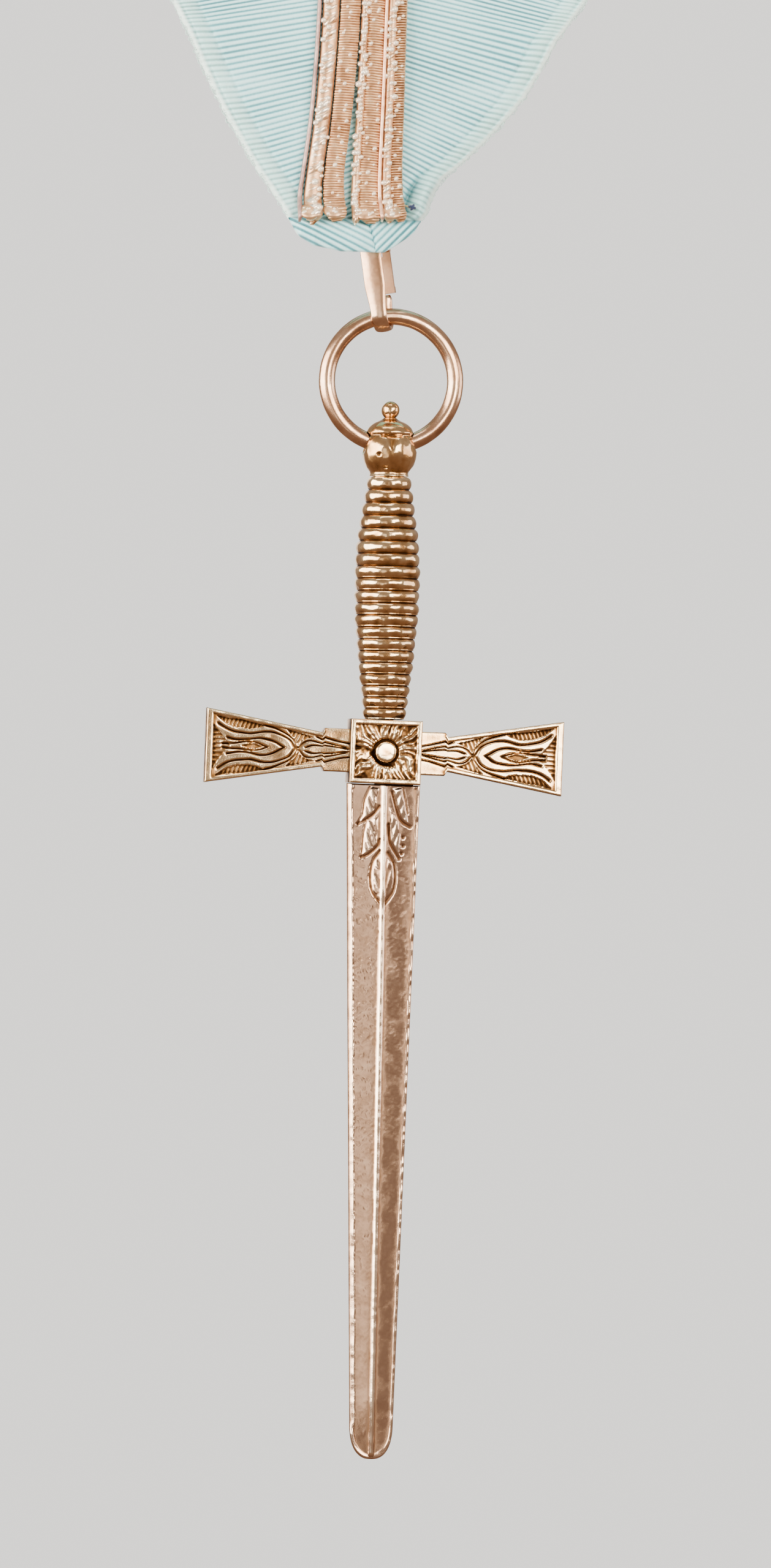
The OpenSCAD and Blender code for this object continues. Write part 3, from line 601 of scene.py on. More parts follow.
def make_hem():
    left, right = -outer_edge(POINT_CUT + HEM_H, -1), outer_edge(POINT_CUT + HEM_H, 1)
    x = np.arange(left + 0.05, right - 0.05, HEM_STEP)[:, None]
    low = fold_height(x)
    turn = circle(HEM_SIDES)[None]
    half = (HEM_H - low) / 2
    thick = HEM_T * np.sqrt(unit(half / (HEM_H / 2)))
    h = low + half - half * np.cos(turn) - 0.15 * (np.cos(turn) > 0.9) * (1 - low / HEM_H)
    front = unit(np.sin(turn)) ** 0.6
    (top_x, top_h), (foot_x, foot_h) = HEM_SEAM
    seam_x = np.interp(h, [foot_h, top_h], [foot_x, top_x])
    left_slant, right_slant = HEM_SLANTS
    rib = np.where(x < seam_x, h * math.cos(left_slant) + x * math.sin(left_slant),
                   h * math.cos(right_slant) - x * math.sin(right_slant)) / HEM_RIB_PITCH
    tuck = 0.22 * np.exp(-(((x - 0.5) / 0.45) ** 2 + ((h - 0.45) / 0.5) ** 2))
    bulge = 0.16 * lattice_noise(np.stack([x + 0 * h, h, 0 * h], -1), 1.6, 37)
    height = (-0.34 * (1 - wave(rib) ** 0.6) - 0.4 * bell(x, seam_x, 0.13) + tuck + bulge) * front
    under = unit(-np.sin(turn)) * unit(np.cos(turn) - 0.2)
    d = CLOTH_T + CLOTH_GAP + front * (thick + height) - CLOTH_T * under
    points, faces = loft(on_collar(np.broadcast_to(x, h.shape), POINT_CUT + h, d), flip=True)
    # shade paints a band of shade along the top of the roll, under the braids' ends
    numbers = {"rib": rib, "rib_back": 0 * h, "mitre": 0 * h - 1, "edge": 0 * h + 3, "carved": 0 * h + 1,
               "shade": 0.75 * unit((h - HEM_H + 0.55) / 0.5)}
    return make_piece("folded_point", points, faces, SILK, numbers)


hem = make_hem()
dress(hem, "collar", "ribbon", "point_hem")

# %% [markdown]
# ## Metal thread
# The braids are wound with flat metal thread, once silvered and now a tarnished pinkish tan. The
# wound thread is metal, so it glitters at points, and tarnish dulls it in soft blotches. Odd loops are
# painted near white as glints.

# %% Metal thread material


def metal_thread(name, stops, roughness, facet_mm, metal=0.85):
    """Wound thread: tarnish in stops of colour, and facets that glitter one by one."""
    material, add = new_material(name)
    coords, tarnish, fine = speckled(add, (1.6, 3), (0.5, 2))
    tone = add(MATH, tarnish, 0.55, add(MATH, fine, 0.45, operation="MULTIPLY"), operation="MULTIPLY_ADD")
    facets = add("ShaderNodeTexVoronoi", out="Distance",
                 inputs={"Vector": coords, "Scale": 1 / (facet_mm * MM)})
    glitter = add(BUMP, inputs={"Height": facets, "Distance": 0.03 * facet_mm * MM})
    normal = add(BUMP, inputs={"Height": fine, "Distance": 0.012 * MM, "Normal": glitter})
    return finished(material, add, {"Base Color": add(RAMP, tone, stops=stops), "Metallic": metal,
                                    "Roughness": roughness, "Normal": normal})


# tarnished flat thread of the smooth ribs: an even tan with a dull shine
THREAD = metal_thread("tarnished wound thread",
                      [(0.32, "#a87c58"), (0.46, "#cb9e76"), (0.6, "#dcb48a"), (0.74, "#f2d8b6")], 0.42, 0.5)
# brighter twisted thread of the raised ropes: nearly white where it is rubbed, with sharp glints
BRIGHT_THREAD = metal_thread("bright twisted thread",
                             [(0.34, "#ad7a52"), (0.45, "#e3bd94"), (0.54, "#fff0d8"), (0.66, "#fffaf0")],
                             0.29, 0.55, 0.78)
# odd turns of thread that stand out, painted near white so that they read as glints from every side: painted
# highlights
PAINTED_GLINT_THREAD = metal_thread("loose flat thread", [(0.3, "#ffdfba"), (0.6, "#fff5e2")], 0.28, 0.5, 0.45)
# pinkish cord that shows between the ribs as a smooth line
PINK_THREAD = metal_thread("pinkish fine cord",
                           [(0.35, "#d9a184"), (0.5, "#f0bf9f"), (0.68, "#ffdcc2")], 0.4, 0.5)
# the outer cord has lost its plate and looks mauve
EDGE_THREAD = metal_thread("dull mauve thread",
                           [(0.35, "#8d6f68"), (0.5, "#b3928a"), (0.68, "#d0b3aa")], 0.5, 0.5)

# %% [markdown]
# ## The braids
# Each braid is a few cords side by side: twisted ropes, flat strips and a thin line. A cord is a smooth
# core, lofted along the route that the model's braid takes, and ropes and strips have turns of thread
# over it. The turns are a job for Geometry Nodes: a cloud of points along each cord carries the
# direction of the cord and of the cloth, and the tree sets one small arc of thread on every point.

# %% Route of the braids, as in the model
# Rows are [height as a share, place and width of the left braid, place and width of the right one]
BRAID_ROWS = np.array([
    [0.20, -1.22, 1.07, 0.06, 1.15],
    [0.31, -1.19, 0.95, 0.05, 1.10],
    [0.54, -1.01, 0.96, 0.10, 1.05],
    [1.00, -0.85, 0.99, 0.155, 1.00]])
BRAID_FOOT = (-1.18, 1.07, 0.10, 1.16)
BRAID_FREE = (-0.53, 1.00, 0.53, 1.00)
SPLIT_EASE = 12
CORNER_CUT = 8
HEM_RAMP = 2
CENTRE_S = NOTCH_S / 2


def braid_route(side):
    """Corners of a braid's route on the flat pattern: [x, s, width]."""
    c, f = (1, 0) if side < 0 else (3, 2)
    corner = (INNER_CORNER + OUTER_CORNER) / 2
    first = [BRAID_FOOT[f] * BRAID_W, POINT_CUT + BRAID_END_H, BRAID_FOOT[f + 1] * BRAID_W]
    low = [[r[c] * BRAID_W, POINT_CUT + r[0] * POINT_H, r[c + 1] * BRAID_W] for r in BRAID_ROWS]
    free = [BRAID_FREE[f] * BRAID_W, CENTRE_S - SPLIT_EASE / 6, BRAID_W]
    joins = [side * SPLIT_EASE * math.sin(POINT_ANGLE),
             CENTRE_S + SPLIT_EASE * math.cos(POINT_ANGLE), BRAID_W]
    end_s = (NAPE_IN_S + NAPE_OUT_S + NAPE_TRIM) / 2
    end = [side * (BRAID_W / 2 + CLOTH_GAP) / math.cos(NAPE_ANGLE), end_s, BRAID_W]
    return np.array([first, *low, free, joins, [side * corner[0], corner[1], BRAID_W], end])


def eased(route):
    """Cuts the corners of a route once: its end legs by a quarter, the others by up to CORNER_CUT."""
    rows = [route[0]]
    last = len(route) - 2
    for i, (a, b) in enumerate(zip(route[:-1], route[1:])):
        cut = min(0.25, CORNER_CUT / np.linalg.norm(b - a))
        rows += [a + (b - a) * (0.25 if i == 0 else cut), b + (a - b) * (0.25 if i == last else cut)]
    return np.array(rows + [route[-1]])


def stations(route, step_at):
    """Places along a route whose spacing is step_at(length from its start)."""
    legs = np.linalg.norm(np.diff(route[:, :2], axis=0), axis=1)
    length = np.concatenate([[0], np.cumsum(legs)])
    at = [0.0]
    while at[-1] < length[-1]:
        at.append(at[-1] + step_at(at[-1]))
    at = np.array(at[:-1] + [length[-1]])
    return at, np.stack([np.interp(at, length, column) for column in route.T], -1)


# %% Cords of a braid
CORD_END = 0.9
CORD_SIDES = 16
CORE_STEP = 0.25
CORE_STEP_FAR = 3.0
# What lies side by side in a braid: [place, half width, height] as shares of the braid's half width and
# of its height, [pitch of the turns near the point, slant in degrees], thread thickness and kind
LEFT_CORDS = [
    (-0.92, 0.10, 0.80, 0.0, 0, 0.0, "edge"),
    (-0.37, 0.50, 1.00, 0.64, 34, 0.46, "rope"),
    (0.54, 0.48, 0.92, 0.26, 3, 0.18, "flat")]
RIGHT_CORDS = [
    (-0.84, 0.23, 0.98, 0.40, 62, 0.5, "rope"),
    (-0.30, 0.43, 0.88, 0.26, -3, 0.18, "flat"),
    (0.11, 0.08, 1.00, 0.0, 0, 0.0, "pink"),
    (0.40, 0.31, 1.04, 0.66, 38, 0.48, "rope"),
    (0.80, 0.28, 0.86, 0.26, 4, 0.18, "flat")]
# Section of a core: [how square it is, share of the width, share of the height in its middle and its reach]
CORE_SHAPES = {"flat": (0.45, 0.98, 0.38, 0.38), "rope": (1.0, 0.78, 0.46, 0.4),
               "edge": (0.7, 1.0, 0.46, 0.46)}


def cord_frames(side, place, share, rise, step_at):
    """Places along one cord of a braid, with its directions in space, half width and height."""
    length, route = stations(eased(eased(eased(braid_route(side)))), step_at)
    ahead = unit_vectors(np.gradient(route[:, :2], axis=0))
    across = np.stack([ahead[:, 1], -ahead[:, 0]], -1)
    splay = 1 + 0.10 * np.exp(-length / 1.4)
    flat = route[:, :2] + across * (place * route[:, 2] / 2 * splay)[:, None]
    x, s = flat.T
    under = CLOTH_T + CLOTH_GAP + (HEM_T + CLOTH_GAP) * unit(1 - (s - POINT_CUT - HEM_H) / HEM_RAMP)
    round_end = np.sqrt(np.clip(1 - (1 - unit(length / CORD_END)) ** 2, 0.05, 1))
    half = route[:, 2] / 2 * share * (0.35 + 0.65 * round_end)
    base = on_collar(x, s, under)
    out = on_collar(x, s, under + 1) - base
    sideways = unit_vectors(on_collar(x + across[:, 0] * 0.1, s + across[:, 1] * 0.1, under) - base)
    return base, out, sideways, half, round_end * BRAID_T * rise


def near_far(near, far):
    """Spacing that is near along the first 30 mm of a braid and grows to far by 90 mm."""
    return lambda length: near + (far - near) * min(1, max(0, length - 30) / 60)


CORE_SPACING = near_far(CORE_STEP, CORE_STEP_FAR)


def cord_core(side, place, share, rise, kind, material):
    """The core of a cord: round in a thin cord, a low arch in a flat strip, thinner than a rope's turns."""
    base, out, sideways, half, tall = cord_frames(side, place, share, rise, CORE_SPACING)
    turn = circle(CORD_SIDES)
    boxy, fill, middle, reach = CORE_SHAPES.get(kind, (1.0, 1.0, 0, 0))
    across, upward = (np.sign(v) * np.abs(v) ** boxy for v in (np.cos(turn), np.sin(turn)))
    if kind == "pink":
        middle = np.maximum(tall - half * 1.1, tall * 0.5)
        reach = np.minimum(half * 1.1, tall * 0.5)
    else:
        middle, reach = tall * middle, tall * reach
    rings = (base[:, None] + out[:, None] * (middle[:, None] + reach[:, None] * upward)[..., None]
             + sideways[:, None] * (half[:, None] * across * fill)[..., None])
    return make_piece("core", *loft(rings), material)


# %% Geometry Nodes tree that winds the thread
ROPE_SWEEP = math.radians(200)
FLAT_SWEEP = math.radians(116)
TURN_SEGMENTS = 6
TURN_SIDES = 4
CIRCLE = "GeometryNodeCurvePrimitiveCircle"


def new_tree(name, **inputs):
    """A Geometry Nodes tree with named inputs, add_node for it, and what comes out of its inputs."""
    tree = bpy.data.node_groups.new(name, "GeometryNodeTree")
    for key, kind in {"Geometry": "Geometry", **inputs, "Material": "Material"}.items():
        tree.interface.new_socket(key, in_out="INPUT", socket_type=f"NodeSocket{kind}")
    tree.interface.new_socket("Geometry", in_out="OUTPUT", socket_type="NodeSocketGeometry")
    return tree, partial(add_node, tree), tree.nodes.new("NodeGroupInput").outputs


def winding_tree():
    """Sets an arc of thread on every point, turned by the point's own directions."""
    tree, add, given = new_tree("thread winding", Thread="Float", Sweep="Float", Slant="Float", Sway="Float",
                                Seed="Int")
    radius = add(MATH, 1.0, given["Thread"], operation="SUBTRACT")
    half_sweep = add(MATH, given["Sweep"], 0.5, operation="MULTIPLY")
    start = add(MATH, math.pi / 2, half_sweep, operation="SUBTRACT")
    arc = add("GeometryNodeCurveArc", mode="RADIUS", out="Curve", inputs={
        "Resolution": TURN_SEGMENTS + 1, "Radius": radius, "Start Angle": start,
        "Sweep Angle": given["Sweep"]})
    section = add(CIRCLE, inputs={"Resolution": TURN_SIDES, "Radius": given["Thread"]}, out="Curve")
    thread = add("GeometryNodeCurveToMesh", arc, section)
    sideways, outward, size = (
        add("GeometryNodeInputNamedAttribute", name, data_type="FLOAT_VECTOR", out="Attribute")
        for name in ("sideways", "out", "size"))
    facing = add("FunctionNodeAxesToRotation", sideways, outward, primary_axis="X", secondary_axis="Y")
    back = add(MATH, 0.0, given["Sway"], operation="SUBTRACT")
    least = add(MATH, 1.0, given["Sway"], operation="SUBTRACT")
    sway, swell = (
        add("FunctionNodeRandomValue", data_type="FLOAT", out=1,
            inputs={2: low, 3: high, "Seed": given["Seed"]})
        for low, high in ((back, given["Sway"]), (least, 1.05)))
    tilt = add("FunctionNodeAxisAngleToRotation", (0, 1, 0), add(MATH, given["Slant"], sway, operation="ADD"))
    turned = add("FunctionNodeRotateRotation", facing, tilt, rotation_space="LOCAL")
    scale = add(VECTOR_MATH, size, inputs={"Scale": swell}, operation="SCALE")
    wound = add("GeometryNodeInstanceOnPoints", given["Geometry"],
                inputs={"Instance": thread, "Rotation": turned, "Scale": scale})
    real = add("GeometryNodeRealizeInstances", wound)
    add("NodeGroupOutput", add("GeometryNodeSetMaterial", real, inputs={"Material": given["Material"]}))
    return tree


def run_tree(name, source, tree, values):
    """Runs a tree on an object with named input values and returns the result as a plain mesh object."""
    modifier = source.modifiers.new("nodes", "NODES")
    modifier.node_group = tree
    identifiers = {item.name: item.identifier for item in tree.interface.items_tree if item.in_out == "INPUT"}
    for key, value in values.items():
        modifier[identifiers[key]] = value
    graph = bpy.context.evaluated_depsgraph_get()
    mesh = bpy.data.meshes.new_from_object(source.evaluated_get(graph))
    source.modifiers.remove(modifier)
    mesh.name = name
    mesh.shade_smooth()
    piece = in_scene(name, mesh)
    bpy.data.objects.remove(source)
    return piece


def point_cloud(name, points, **vectors):
    """Loose points in mm that carry named vectors."""
    mesh = bpy.data.meshes.new(name)
    mesh.from_pydata((points * MM).tolist(), [], [])
    for key, values in vectors.items():
        mesh.attributes.new(key, "FLOAT_VECTOR", "POINT").data.foreach_set("vector", np.ravel(values))
    return in_scene(name, mesh)


WINDING = winding_tree()


def wind(name, points, sideways, out, size, thread, slant, sway, seed, material, sweep=ROPE_SWEEP):
    """Arcs of thread on points, as one mesh."""
    cloud = point_cloud(name, points, sideways=sideways, out=out, size=size * MM)
    return run_tree(name, cloud, WINDING, {"Thread": thread, "Sweep": sweep, "Slant": slant, "Sway": sway,
                                           "Seed": seed, "Material": material})


# %% Wind both braids
FAR_PITCH = 3.0
BEADED_TO = 45.0
# How glints lie on a cord, in mm: [spacing, least size, greatest size, how deep they sit], with the
# height of the cord's rounding as a share
GLINTS = {"flat": (0.8, 0.18, 0.32, 0.09, 0.14), "rope": (0.5, 0.26, 0.44, 0.17, 0.5)}
GLINT_SHAPE = [0.9, 0.9, 1.4]
# Lobes at a braid's foot: [place, half width] as shares
FOOT_LOBES = {-1: [(-0.52, 0.48), (0.48, 0.50)], 1: [(-0.46, 0.52), (0.52, 0.47)]}
LOBE_HALF = 1.05
LOBE_BEADS = 9
LOBE_RINGS = 16
LOBE_SIDES = 24


def sprinkle(name, spots, sideways, out, seed, least=0.16, most=0.30):
    """Odd loops at given spots, in thread painted near white as glints."""
    size = np.random.default_rng(seed).uniform(least, most, (len(spots), 1)) * GLINT_SHAPE
    return wind(name, spots, sideways, out, size, 0.5, 0.5, 0.2, seed, PAINTED_GLINT_THREAD)


def beads(kind, base, out, sideways, half, tall, seed):
    """Loops that stand out of a cord, scattered along it."""
    every, least, most, sunk, rounding = GLINTS[kind]
    rng = np.random.default_rng(seed)
    length = np.concatenate([[0], np.cumsum(np.linalg.norm(np.diff(base, axis=0), axis=1))])
    spacing = np.arange(1.0, BEADED_TO, every)
    at = np.searchsorted(length, spacing + rng.uniform(-0.4, 0.4, len(spacing)))
    place = rng.uniform(-0.7, 0.7, len(at))
    lift = tall[at] * (1 - rounding + rounding * np.sqrt(1 - place ** 2)) - sunk
    spots = base[at] + out[at] * lift[:, None] + sideways[at] * (place * half[at])[:, None]
    return sprinkle("beads", spots, sideways[at], out[at], seed + 50, least, most)


def foot_lobe(side, place, share, seed):
    """A rounded lobe in which the ends of the cords are folded under, with loops of thread on it."""
    base, out, sideways, half, tall = cord_frames(side, place, share, 0.97, CORE_SPACING)
    at = round(LOBE_HALF / CORE_STEP)
    ahead = base[at + 1] - base[at]
    ahead = ahead / np.linalg.norm(ahead)

    def surface(theta, phi, lift=0.0):
        up = (0.5 + 0.5 * np.sin(theta) * np.sin(phi)) * tall[at] + lift
        return (base[at] + ahead * (LOBE_HALF * np.cos(theta))[..., None] + out[at] * up[..., None]
                + sideways[at] * (half[at + 6] * np.sin(theta) * np.cos(phi))[..., None])

    theta, phi = np.meshgrid(np.linspace(math.pi - 0.08, 0.08, LOBE_RINGS), circle(LOBE_SIDES), indexing="ij")
    lobe = make_piece("lobe", *loft(surface(theta, phi)), THREAD)
    rng = np.random.default_rng(seed)
    spots = surface(rng.uniform(0.35, 0.7, LOBE_BEADS) * math.pi,
                    rng.uniform(0.25, 0.75, LOBE_BEADS) * math.pi, -0.1)
    facing = [np.tile(v[at], (LOBE_BEADS, 1)) for v in (sideways, out)]
    return [lobe, sprinkle("lobe_beads", spots, *facing, seed)]


def make_braid(name, side, cords):
    parts = []
    for number, (place, share, rise, pitch, slant, thread, kind) in enumerate(cords):
        material = {"pink": PINK_THREAD, "edge": EDGE_THREAD}.get(kind, THREAD)
        parts.append(cord_core(side, place, share, rise, kind, material))
        if kind in ("pink", "edge"):
            continue
        spacing = near_far(pitch, pitch * FAR_PITCH)
        base, out, sideways, half, tall = cord_frames(side, place, share, rise, spacing)
        is_flat = kind == "flat"
        wide = half / math.sin(FLAT_SWEEP / 2) if is_flat else half
        size = np.stack([wide, tall * 0.5, wide], -1)
        parts.append(wind("turns", base + out * (tall * 0.5)[:, None], sideways, out, size, thread,
                          math.radians(slant), 0.05 if is_flat else 0.3, 5 + number,
                          THREAD if is_flat else BRIGHT_THREAD, FLAT_SWEEP if is_flat else ROPE_SWEEP))
        parts.append(beads(kind, base, out, sideways, half, tall, 31 + number))
    for number, (place, share) in enumerate(FOOT_LOBES[side]):
        parts += foot_lobe(side, place, share, 71 + number)
    return join(name, parts)


for band, side, cords in (("left", -1, LEFT_CORDS), ("right", 1, RIGHT_CORDS)):
    dress(make_braid(f"{band}_wound_braid", side, cords), "collar", "braid", f"{band}_braid")

# %% [markdown]
# ## Loose threads
# The turned edges are a little frayed, and the end of the sewing thread shows beside the braid as a
# dark blue knot with a twist of yellow. Both are arcs of thread on points, so the winding tree that
# wraps the braids makes them too, with smaller sizes.

# %% Frayed edges and the sewing knot
FRAY_STEP = 0.16
FRAY_TO = 34.0


def cotton(name, colour):
    """Spun thread without shine: matt, with a faint fuzz at its rim."""
    material, add = new_material(name)
    return finished(material, add, {"Base Color": linear(colour), "Roughness": 0.8, "Sheen Weight": 0.3})


def loops(name, flat, across, size, thread, slant, seed, material):
    """Arcs of thread standing out from the collar at pattern points flat, towards the directions across."""
    x, s, d = flat.T
    base = on_collar(x, s, d)
    out = on_collar(x + across[:, 0] * 0.1, s + across[:, 1] * 0.1, d + across[:, 2] * 0.1) - base
    along = on_collar(x - across[:, 1] * 0.1, s + across[:, 0] * 0.1, d) - base
    return wind(name, base, unit_vectors(along), unit_vectors(out), size, thread, slant, 0.15, seed, material)


def fray(side, seed):
    rng = np.random.default_rng(seed)
    s = np.arange(POINT_CUT + HEM_H + 0.4, POINT_CUT + FRAY_TO, FRAY_STEP)
    count = len(s)
    s = s + rng.uniform(-0.06, 0.06, count)
    x = outer_edge(s, side) - rng.uniform(0.02, 0.22, count)
    depth = rng.uniform(0.25, 0.95, count) * CLOTH_T - (roll_at(s, 1.0) if side > 0 else 0)
    across = np.stack([np.full(count, side * 1.0), rng.uniform(-0.9, 0.3, count),
                       rng.uniform(-0.6, 0.8, count)], -1)
    size = rng.uniform(0.10, 0.30, (count, 1)) * [1.0, 1.2, 1.0]
    return loops("fray", np.stack([side * x, s, depth], -1), across, size, 0.16, 0.0, seed, FRAY)


FRAY = cotton("frayed silk", "#b9d6d2")
DARK_THREAD = cotton("dark blue sewing thread", "#16264a")
YELLOW_THREAD = cotton("yellowish sewing thread", "#b3a878")
KNOT = np.array([3.75, POINT_CUT + 4.3, CLOTH_T + 1.0])
KNOT_R = 0.28
TWIST_R = 0.15
# Turns of the knot: [x, s, d] from its middle, and the direction that each one faces
KNOT_TURNS = np.array([
    [0.0, 0.0, 0.0], [0.14, 0.12, 0.04], [0.05, -0.06, 0.0], [0.2, 0.02, 0.06], [-0.1, 0.08, 0.02]])
KNOT_FACING = np.array([
    [0.3, 0.1, 1.0], [-0.2, 0.3, 1.0], [0.1, -0.3, 1.0], [-0.3, -0.1, 1.0], [0.2, 0.3, 1.0]])
TWIST_TURNS = np.array([[-0.75 + 0.13 * i, 0.25 - 0.05 * i, -0.3] for i in range(7)])
twist_facing = np.tile([0.0, 0.2, 1.0], (len(TWIST_TURNS), 1))
knot_sizes, twist_sizes = np.full(KNOT_TURNS.shape, KNOT_R), np.full(TWIST_TURNS.shape, TWIST_R)
knot = loops("knot", KNOT + KNOT_TURNS, KNOT_FACING, knot_sizes, 0.5, 0.6, 3, DARK_THREAD)
twist = loops("twist", KNOT + TWIST_TURNS, twist_facing, twist_sizes, 0.4, 0.5, 4, YELLOW_THREAD)
dress(join("loose_threads", [fray(-1, 51), fray(1, 52), knot, twist]), "collar", "ribbon")

# %% [markdown]
# ## Silver plate worn to brass
# Two finishes share one recipe. The fittings are polished: smooth metal with fine scratches. The
# dagger is cast: its skin has a grain, dirt sits in every hollow, and the raised places are rubbed
# bright. Each point of the castings carries a number that says how deep it lies, so that the dirt
# follows the relief. Both are metals and keep the default IOR.

# %% Metal materials


def polished_plate(name, dull, bright):
    """Polished metal with a bloom of tarnish, from dull to bright in roughness."""
    material, add = new_material(name)
    _, bloom, fine = speckled(add, (2.5, 3), (0.3, 4))
    return finished(material, add, {
        "Base Color": add(RAMP, bloom, stops=[(0.35, "#b58c6c"), (0.5, "#d3ab8a"), (0.68, "#ebcbab")]),
        "Metallic": 1.0, "Roughness": add(RANGE, bloom, 0.35, 0.65, dull, bright),
        "Normal": add(BUMP, inputs={"Height": fine, "Distance": 0.006 * MM})})


def cast_plate(name, stops):
    """Cast metal whose colour runs from rubbed bright to dirt through stops."""
    material, add = new_material(name)
    _, patchy, fine = speckled(add, (1.4, 3), (0.16, 3))
    hollow = add("ShaderNodeAttribute", attribute_name="hollow", out="Fac")
    dirt = add(MATH, hollow, add(RANGE, patchy, 0.3, 0.7, -0.09, 0.09), operation="ADD")
    return finished(material, add, {
        "Base Color": add(RAMP, dirt, stops=stops), "Metallic": 1.0,
        "Roughness": add(RANGE, dirt, 0.48, 0.78, 0.13, 0.5),
        "Normal": add(BUMP, inputs={"Height": fine, "Distance": 0.005 * MM})})


# ring and hook: polished plate, so bright reflections, softened a little by handling
POLISHED = polished_plate("polished worn plate", 0.26, 0.17)
# the gate is rubbed by the ring and has lost its polish
DULLED = polished_plate("rubbed worn plate", 0.55, 0.42)
# grip, pommel and guard: the plate is worn down to the brass
BRASS = cast_plate("cast bare brass",
                   [(0.3, "#f5dcb0"), (0.5, "#cfa572"), (0.62, "#8a6136"), (0.8, "#301d0d")])
# blade: a pinkish grey plate is left on its faces
PLATED = cast_plate("cast worn plate",
                    [(0.08, "#f6dfc2"), (0.44, "#cba98e"), (0.7, "#9c7b60"), (0.95, "#5f4029")])

# %% [markdown]
# ## Ring
# A ring is a circle of wire. Geometry Nodes draw it from two circles, with a little wear along it.

# %% Ring
WIRE_R = (ring_high.y - ring_low.y) / 2 / MM
RING_R = (ring_high.x - ring_low.x) / 2 / MM - WIRE_R
# How fine the ring and its wire are, and the length of a blob of wear, in mm
RING_STEPS = (180, 36)
WEAR_L = 10 / 7


def ring_tree():
    sizes = dict.fromkeys(("Ring radius", "Wire radius", "Wear"), "Float")
    tree, add, given = new_tree("ring of wire", **sizes)
    circles = [add(CIRCLE, inputs={"Resolution": steps, "Radius": given[radius]}, out="Curve")
               for steps, radius in zip(RING_STEPS, ("Ring radius", "Wire radius"))]
    wire = add("GeometryNodeCurveToMesh", *circles)
    worn = add(NOISE, inputs={"Scale": 1 / (WEAR_L * MM), "Detail": 2.0}, out="Color", noise_dimensions="3D")
    centred = add(VECTOR_MATH, worn, (0.5, 0.5, 0.5), operation="SUBTRACT")
    offset = add(VECTOR_MATH, centred, inputs={"Scale": given["Wear"]}, operation="SCALE")
    moved = add("GeometryNodeSetPosition", wire, inputs={"Offset": offset})
    stood = add("GeometryNodeTransform", moved, inputs={"Rotation": (math.pi / 2, 0, 0)})
    add("NodeGroupOutput", add("GeometryNodeSetMaterial", stood, inputs={"Material": given["Material"]}))
    return tree


ring = run_tree("jewel_ring", point_cloud("ring_seed", np.zeros((1, 3))), ring_tree(), {
    "Ring radius": RING_R * MM, "Wire radius": WIRE_R * MM, "Wear": 0.05 * MM, "Material": POLISHED})
ring.data.transform(Matrix.Translation(Vector(RING_CENTRE * MM)))
dress(ring, "ring", "fittings", "hanging_ring")

# %% [markdown]
# ## Spring hook
# The hook is a strip of half-round wire, bent round the ring and back up, with a flat eye at its top by
# which it is sewn behind the point. Its gate stays the model's own solid.

# %% Hook
HOOK_W = 2.1
HOOK_CURL_W = 1.6
HOOK_T = 0.46
HOOK_INNER = 1.32
HOOK_TWIST = math.radians(18)
HANG_ANGLE = math.radians(8.8)
NOSE_H = 2.15
CURL_Z = 0.26
PIN_H = 7.0
TOP_Z = PIN_H + 1.4
EYE_R = 2.1
EYE_HOLE_R = 1.2
EYE_T = 0.8
LUG_W = 0.9
LUG_R = 0.75
PIN_HOLE_R = 0.42
FLAT_RING_EDGE = 0.12
FLAT_RING_SIDES = 40
LEG_MID = HOOK_INNER + HOOK_T / 2
EYE_Z = TOP_Z + HOOK_INNER + HOOK_T + EYE_R - 0.6
HANG = np.array(Matrix.Rotation(-HANG_ANGLE, 3, "Y"))
TWIST = np.array(Matrix.Rotation(-HOOK_TWIST, 3, "Z"))


def at_hook(points):
    """Hook's own frame to space: it hangs askew on top of the ring."""
    return (points @ TWIST.T + [0, 0, RING_R]) @ HANG.T + RING_CENTRE


def hook_path():
    """Middle of the strip as [y, z], from its nose round the curl and up to the top bend."""
    low = [(LEG_MID * math.cos(a), CURL_Z - LEG_MID * math.sin(a)) for a in np.linspace(0, math.pi, 25)]
    high = [(-LEG_MID * math.cos(a), TOP_Z + LEG_MID * math.sin(a)) for a in np.linspace(0, math.pi, 17)]
    nose = [(LEG_MID, z) for z in np.linspace(NOSE_H, CURL_Z, 6, endpoint=False)]
    leg = [(-LEG_MID, z) for z in np.linspace(CURL_Z, TOP_Z, 36)[1:-1]]
    return np.array(nose + low + leg + high)


def make_strip():
    path = hook_path()
    ahead = unit_vectors(np.gradient(path, axis=0))
    outward = np.stack([ahead[:, 1], -ahead[:, 0]], -1)
    wide = np.interp(path[:, 1], [0.8, 3.0], [HOOK_CURL_W / 2, HOOK_W / 2])
    ends = np.minimum(np.arange(len(path)), np.arange(len(path))[::-1])
    shrink = np.interp(ends, [0, 1, 2], [0.8, 0.95, 1])
    turn = circle(28)
    across = np.sign(np.cos(turn)) * np.abs(np.cos(turn)) ** 0.95
    through = np.where(np.sin(turn) > 0, 2.0 * np.sin(turn), np.sin(turn))
    x = (wide * shrink)[:, None] * across
    deep = (HOOK_T / 2 * shrink)[:, None] * through
    y = path[:, :1] + outward[:, :1] * deep
    z = path[:, 1:] + outward[:, 1:] * deep
    return make_piece("strip", *loft(at_hook(np.stack([x, y, z], -1))), POLISHED)


